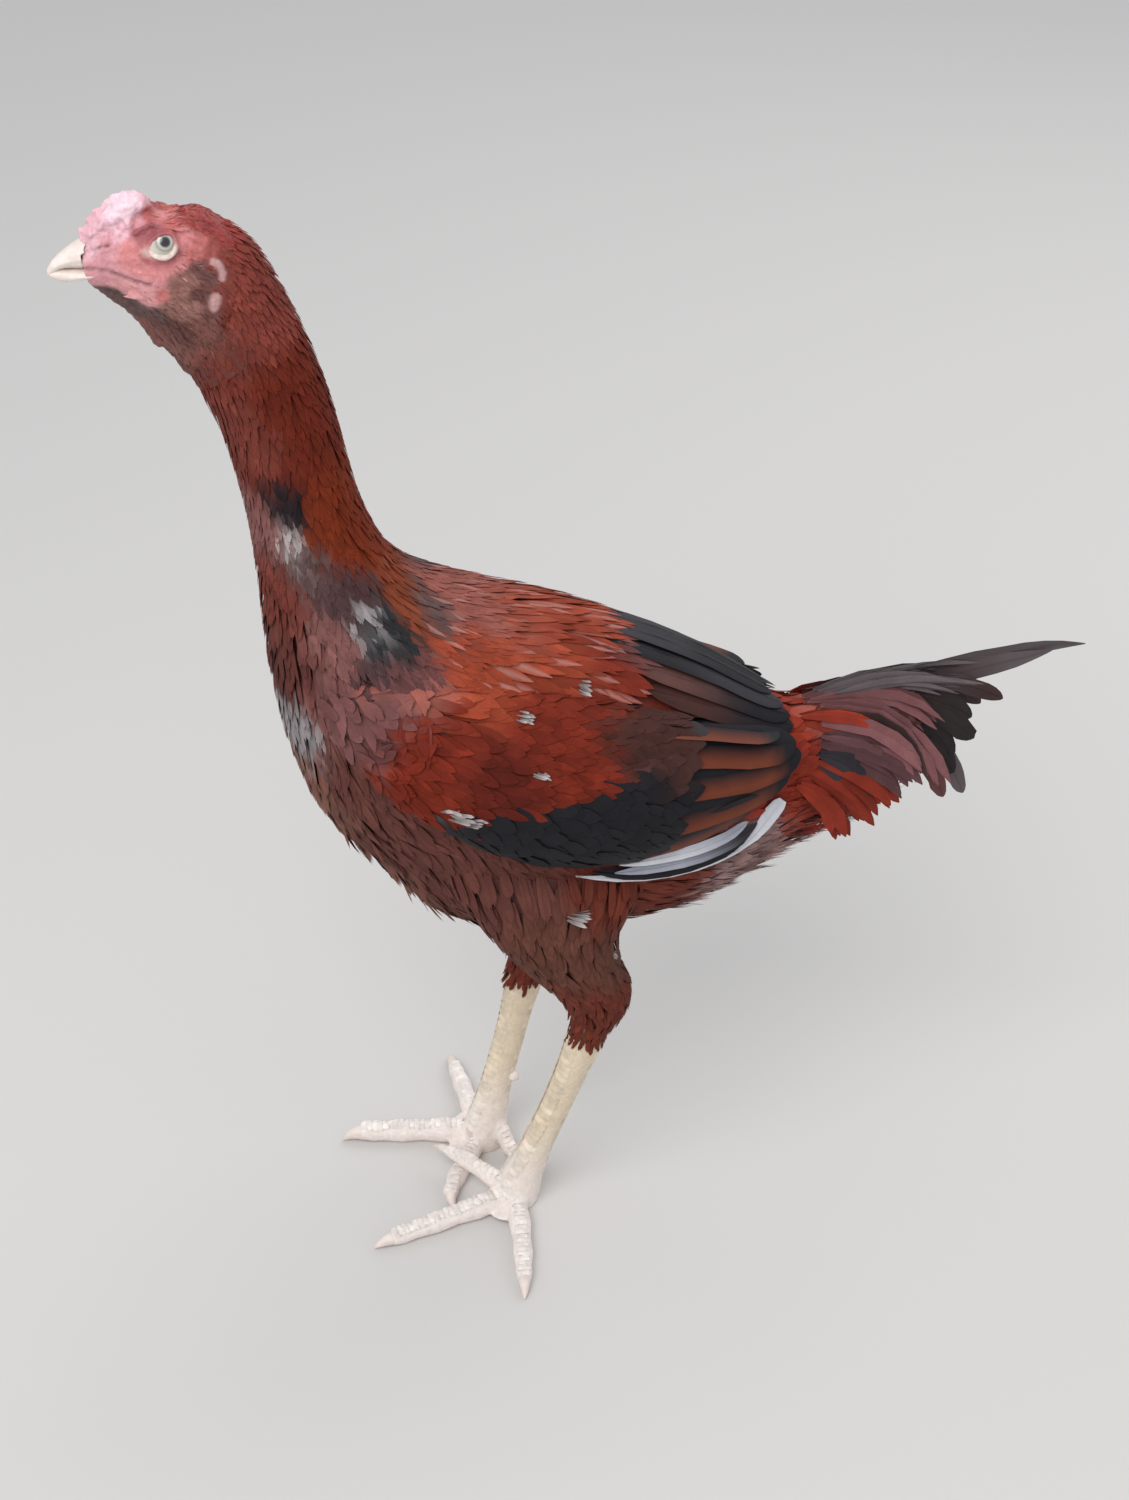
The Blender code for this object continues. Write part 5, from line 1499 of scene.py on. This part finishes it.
def scute_row(form, turn, first, last, step, half, length):
    """One row of overlapping plates down a form, from station first to last, step millimetres apart."""
    fine = np.linspace(first, last, 400)
    track = form.point(fine, np.full(400, float(turn)))
    far = travelled(track)
    s = np.interp(np.arange(0.0, far[-1], step), far, fine)
    t = turn + rng.normal(0.0, 1.5, len(s))
    lines, _ = lines_on(form, s, t, np.full(len(s), length), 0.0)
    return s, t, lines, np.full(len(s), half) * rng.uniform(0.93, 1.05, len(s))


def build_scutes(material, skin_tree):
    rows = []
    for side in (LEFT, RIGHT):
        form = shank_form(side)
        for turn in (-31, 31):
            rows.append((form, *scute_row(form, turn, 0.55, 5.9, 4.6, 4.7, 5.8)))
        for turn in (150, 210):
            rows.append((form, *scute_row(form, turn, 1.0, 5.0, 4.8, 3.9, 5.8)))
    for name in TOES:
        form = toe_form(name)
        start = 0.35 if "hind" not in name else 0.6
        rows.append((form, *scute_row(form, 0.0, start, 2.9, 3.3, 4.5 if "middle" in name else 3.9, 4.3)))
    lines, halves, spots, hues = [], [], [], []
    for form, s, t, row_lines, half in rows:
        lines.append(row_lines)
        halves.append(half)
        spots.append(unwrap_of(form, s, t))
        rise = np.clip((row_lines[:, 4, 2] - 14.0) / 50.0, 0.0, 1.0)[:, None]
        hues.append(mix(np.array(HUES["foot_pink"]), np.array(HUES["leg_cream"]), rise))
    hues = vary(np.concatenate(hues), 0.05)
    lines = np.concatenate(lines)
    heights = np.tile(np.linspace(-0.35, 0.35, KNOTS), (len(lines), 1))
    lines, facing = settle(lines, skin_tree, heights)
    # Each plate is painted darker at its root: painted shade where it tucks under the plate before it.
    plates = Feathers(lines, facing, np.concatenate(halves), hues * 0.80, hues, np.concatenate(spots),
                      thick=0.45, cup=0.24)
    plates.turn_colour = (0.05, 0.35)
    plates.build("leg_scutes", SCUTE, material, "scaled_skin")


def add_tube(bm, path, radii):
    """A closed round piece along a path in millimetres."""
    def place(k, x, y):
        onward = unit(path[min(k + 1, len(path) - 1)] - path[max(k - 1, 0)])
        across = unit(np.cross(onward, (0.0, 0.0, 1.0)))
        return Vector(path[k] + across * x * radii[k] + np.cross(across, onward) * y * radii[k]) * MM
    add_loft(bm, CLAW_SIDES, len(path), place)
    bmesh.ops.recalc_face_normals(bm, faces=bm.faces)


def claw_shape(bm, name):
    """A nail that grows out of the toe's end, bends down a little and comes to a blunt point."""
    line, _, nail = TOES[name]
    before, last, tip = (np.array(p) for p in (line[-2], line[-1], CLAW_TIPS[name]))
    onward = unit(last - before)
    start = last - onward * 3.0
    bend = last + onward * np.linalg.norm(tip - last) * 0.5 + (0.0, 0.0, 1.2)
    share = np.linspace(0.0, 1.0, 10)[:, None]
    path = start * (1 - share) ** 2 + bend * 2 * share * (1 - share) + tip * share ** 2
    add_tube(bm, path, np.maximum(nail * 0.92 * (1 - share[:, 0]) ** 0.62, 0.55))


# How far the left and the right spur bud move into their shanks, in metres.
SPUR_SHIFT = (Vector((-0.0020, -0.0028, 0.0)), Vector((-0.0024, 0.0028, 0.0)))
# The mouth's closing line on the beak: x and z of its front and back, for each half.
MOUTH_LINE = {
    "upper_beak": ((-268.0, -251.0), (616.8, 618.9)), "lower_beak": ((-266.0, -251.0), (616.2, 617.9)),
}
# How much each half is flattened or deepened away from that line: x and share.
BEAK_DEPTH = {
    "upper_beak": ((-269.0, -264.5, -260.0, -254.5, -250.0), (0.80, 0.66, 0.74, 0.86, 0.96)),
    "lower_beak": ((-268.0, -262.0, -256.0, -250.0, -244.0), (1.25, 1.20, 0.84, 0.62, 0.52)),
}
# How far each half is then lifted: x and height.
BEAK_LIFT = {"upper_beak": ((-268.5, -263.0), (0.0, 1.4)), "lower_beak": ((-268.0, -262.0), (1.1, 1.65))}


def build_horn(material):
    """Beak, claws and spur buds."""
    claws = [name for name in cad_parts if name.startswith("claw_")]
    sets = (("upper_beak", ("beak_upper",), HORN_CELL, 0.15),
            ("lower_beak", ("beak_lower",), HORN_CELL, 0.35),
            ("claws", claws, CLAW_CELL, 0.0),
            ("spur_buds", ("spur_left", "spur_right"), HORN_CELL, 0.3))
    for name, nodes, voxel, grow in sets:
        bm = bmesh.new()
        if name == "claws":
            for toe in TOES:
                claw_shape(bm, toe)
        else:
            for piece in nodes:
                merged_copy(bm, piece, grow)
        made = fused(bm, voxel, 4)
        for vert in made.verts:
            vert.co.z = max(vert.co.z, 0.0)
            if name == "lower_beak":
                vert.co.x -= max(0.0, -0.2535 - vert.co.x) * 0.32
                vert.co.z += max(0.0, -0.2535 - vert.co.x) * 0.16
            if name == "upper_beak":
                vert.co.z += max(0.0, -0.2500 - vert.co.x) * 0.10
            if name in BEAK_DEPTH:
                middle = float(np.interp(vert.co.x / MM, *MOUTH_LINE[name])) * MM
                share = float(np.interp(vert.co.x / MM, *BEAK_DEPTH[name]))
                if (vert.co.z > middle) == (name == "upper_beak"):
                    vert.co.z = middle + (vert.co.z - middle) * share
                vert.co.z += float(np.interp(vert.co.x / MM, *BEAK_LIFT[name])) * MM
                wide = float(np.interp(vert.co.x / MM, (-258.0, -251.0), (1.0, 1.22)))
                vert.co.y = MIDDLE * MM + (vert.co.y - MIDDLE * MM) * wide
            if name == "spur_buds":
                vert.co += SPUR_SHIFT[vert.co.y > MIDDLE * MM]
        mesh = mesh_of(made, name)
        mesh.shade_smooth()
        add_piece(name, mesh, material, nodes)


def ramp(tree, factor, stops):
    """Colours that follow a factor, from (position, colour) stops."""
    made = node(tree, "ShaderNodeValToRGB", {"Fac": factor})
    elements = made.color_ramp.elements
    while len(elements) < len(stops):
        elements.new(1.0)
    for element, (position, _) in zip(elements, stops):
        element.position = position
    for element, (_, colour) in zip(elements, stops):
        element.color = (*colour, 1.0)
    return made.outputs["Color"]


def horn_material():
    made, tree, shader = new_material("pale_horn")
    growth = object_noise(tree, 160.0, 3.0)
    stripe = object_noise(tree, 900.0, 2.0)
    grain = maths(tree, "ADD", maths(tree, "MULTIPLY", growth, 0.8), maths(tree, "MULTIPLY", stripe, 0.2))
    shaded = ramp(tree, grain, ((0.35, (0.70, 0.58, 0.52)), (0.62, (0.80, 0.71, 0.65))))
    tree.links.new(shaded, shader.inputs["Base Color"])
    rough = maths(tree, "ADD", 0.28, maths(tree, "MULTIPLY", growth, 0.25))
    tree.links.new(rough, shader.inputs["Roughness"])
    add_bump(tree, shader, grain, 0.25, 0.0004)
    set_inputs(shader, Subsurface_Weight=0.1, Subsurface_Radius=(1.0, 0.6, 0.4), Subsurface_Scale=0.002)
    return made


# An eye's colours outwards from its middle: degrees, colour.
EYE_RINGS = (
    (0.0, (0.010, 0.010, 0.011)), (12.5, (0.016, 0.016, 0.017)), (16.5, (0.10, 0.10, 0.10)),
    (19.0, (0.40, 0.39, 0.36)), (23.0, (0.52, 0.50, 0.44)), (27.5, (0.40, 0.38, 0.32)),
    (30.5, (0.32, 0.28, 0.24)), (35.0, (0.45, 0.43, 0.36)), (44.0, (0.56, 0.53, 0.45)),
    (62.0, (0.68, 0.60, 0.53)), (90.0, (0.70, 0.60, 0.54)),
)


def eye_material():
    made, tree, shader = new_material("wet_eye")
    place = node(tree, "ShaderNodeUVMap", uv_map="Gaze").outputs[0]
    angle = node(tree, "ShaderNodeSeparateXYZ", {0: place}).outputs[0]
    fleck = object_noise(tree, 900.0, 3.0)
    shifted = maths(tree, "ADD", angle, maths(tree, "MULTIPLY", maths(tree, "SUBTRACT", fleck, 0.5), 0.03))
    shaded = ramp(tree, shifted, [(degrees / 90.0, colour) for degrees, colour in EYE_RINGS])
    tree.links.new(shaded, shader.inputs["Base Color"])
    set_inputs(shader, Roughness=0.22, Coat_Weight=0.6, Coat_Roughness=0.03)
    return made


def build_eye(side, mark, material):
    """An eyeball that looks along its gaze, with the cornea standing a little proud."""
    centre, gaze = eye_frame(side)[:2]
    bm = bmesh.new()
    bmesh.ops.create_uvsphere(bm, u_segments=48, v_segments=36, radius=1.0)
    layer = bm.loops.layers.uv.new("Gaze")
    for face in bm.faces:
        face.smooth = True
        for loop in face.loops:
            co = loop.vert.co
            angle = math.degrees(math.atan2(math.hypot(co.x, co.y), co.z))
            loop[layer].uv = (min(angle / 90.0, 1.0), 0.5)
    turn = gaze.to_track_quat("Z", "Y").to_matrix()
    for vert in bm.verts:
        angle = math.degrees(math.atan2(math.hypot(vert.co.x, vert.co.y), vert.co.z))
        radius = EYE_RADIUS - 0.1 + 0.45 * math.exp(-(angle / 36.0) ** 4)
        vert.co = (centre + turn @ vert.co * radius) * MM
    add_piece(f"eyeball_{mark}", mesh_of(bm, f"eyeball_{mark}"), material, (f"eye_{mark}",))


def build_stage():
    bm = bmesh.new()
    bmesh.ops.create_grid(bm, x_segments=8, y_segments=8, size=6.0)
    mesh = mesh_of(bm, "floor")
    made, _, shader = new_material("pale_floor")
    set_inputs(shader, Base_Color=(0.62, 0.60, 0.58, 1.0), Roughness=0.9)
    mesh.materials.append(made)
    place_in_scene("floor", mesh)


def aim(item, place, target):
    item.location = place
    item.rotation_euler = (Vector(target) - item.location).to_track_quat("-Z", "Y").to_euler()


def add_light(name, place, size, energy):
    light = bpy.data.lights.new(name, "AREA")
    light.shape = "DISK"
    light.size = size
    light.energy = energy
    aim(place_in_scene(name, light), place, LAMP_TARGET)


def build_light_and_camera():
    world = bpy.data.worlds.new("soft_sky")
    world.use_nodes = True
    set_inputs(world.node_tree.nodes["Background"], Color=(0.93, 0.96, 1.0, 1.0), Strength=0.75)
    bpy.context.scene.world = world
    add_light("key", (-0.9, -1.1, 1.9), 1.6, 26.0)
    add_light("fill", (1.2, 0.9, 1.6), 1.6, 10.0)
    camera = bpy.data.cameras.new("camera")
    camera.lens = 55.2
    camera.sensor_width = 36.0
    viewer = place_in_scene("camera", camera)
    aim(viewer, CAMERA_PLACE, CAMERA_TARGET)
    bpy.context.scene.camera = viewer
    bpy.context.scene.view_settings.view_transform = "Standard"


build_stage()
build_light_and_camera()
scaled = skin_material("scaled_skin", grain=520.0, blotch=0.25, rough=0.45)
finishes = [skin_material("face_skin"), skin_material("coat_skin", rough=0.7, scatter_weight=0.0), scaled]
skin = build_skin(finishes)
skin_shape = bmesh.new()
skin_shape.from_mesh(skin.data)
skin_tree = BVHTree.FromBMesh(skin_shape)
skin_shape.free()
build_coat(skin_tree)
build_scutes(scaled, skin_tree)
build_horn(horn_material())
wet_eye = eye_material()
for side, mark in SIDES:
    build_eye(side, mark, wet_eye)
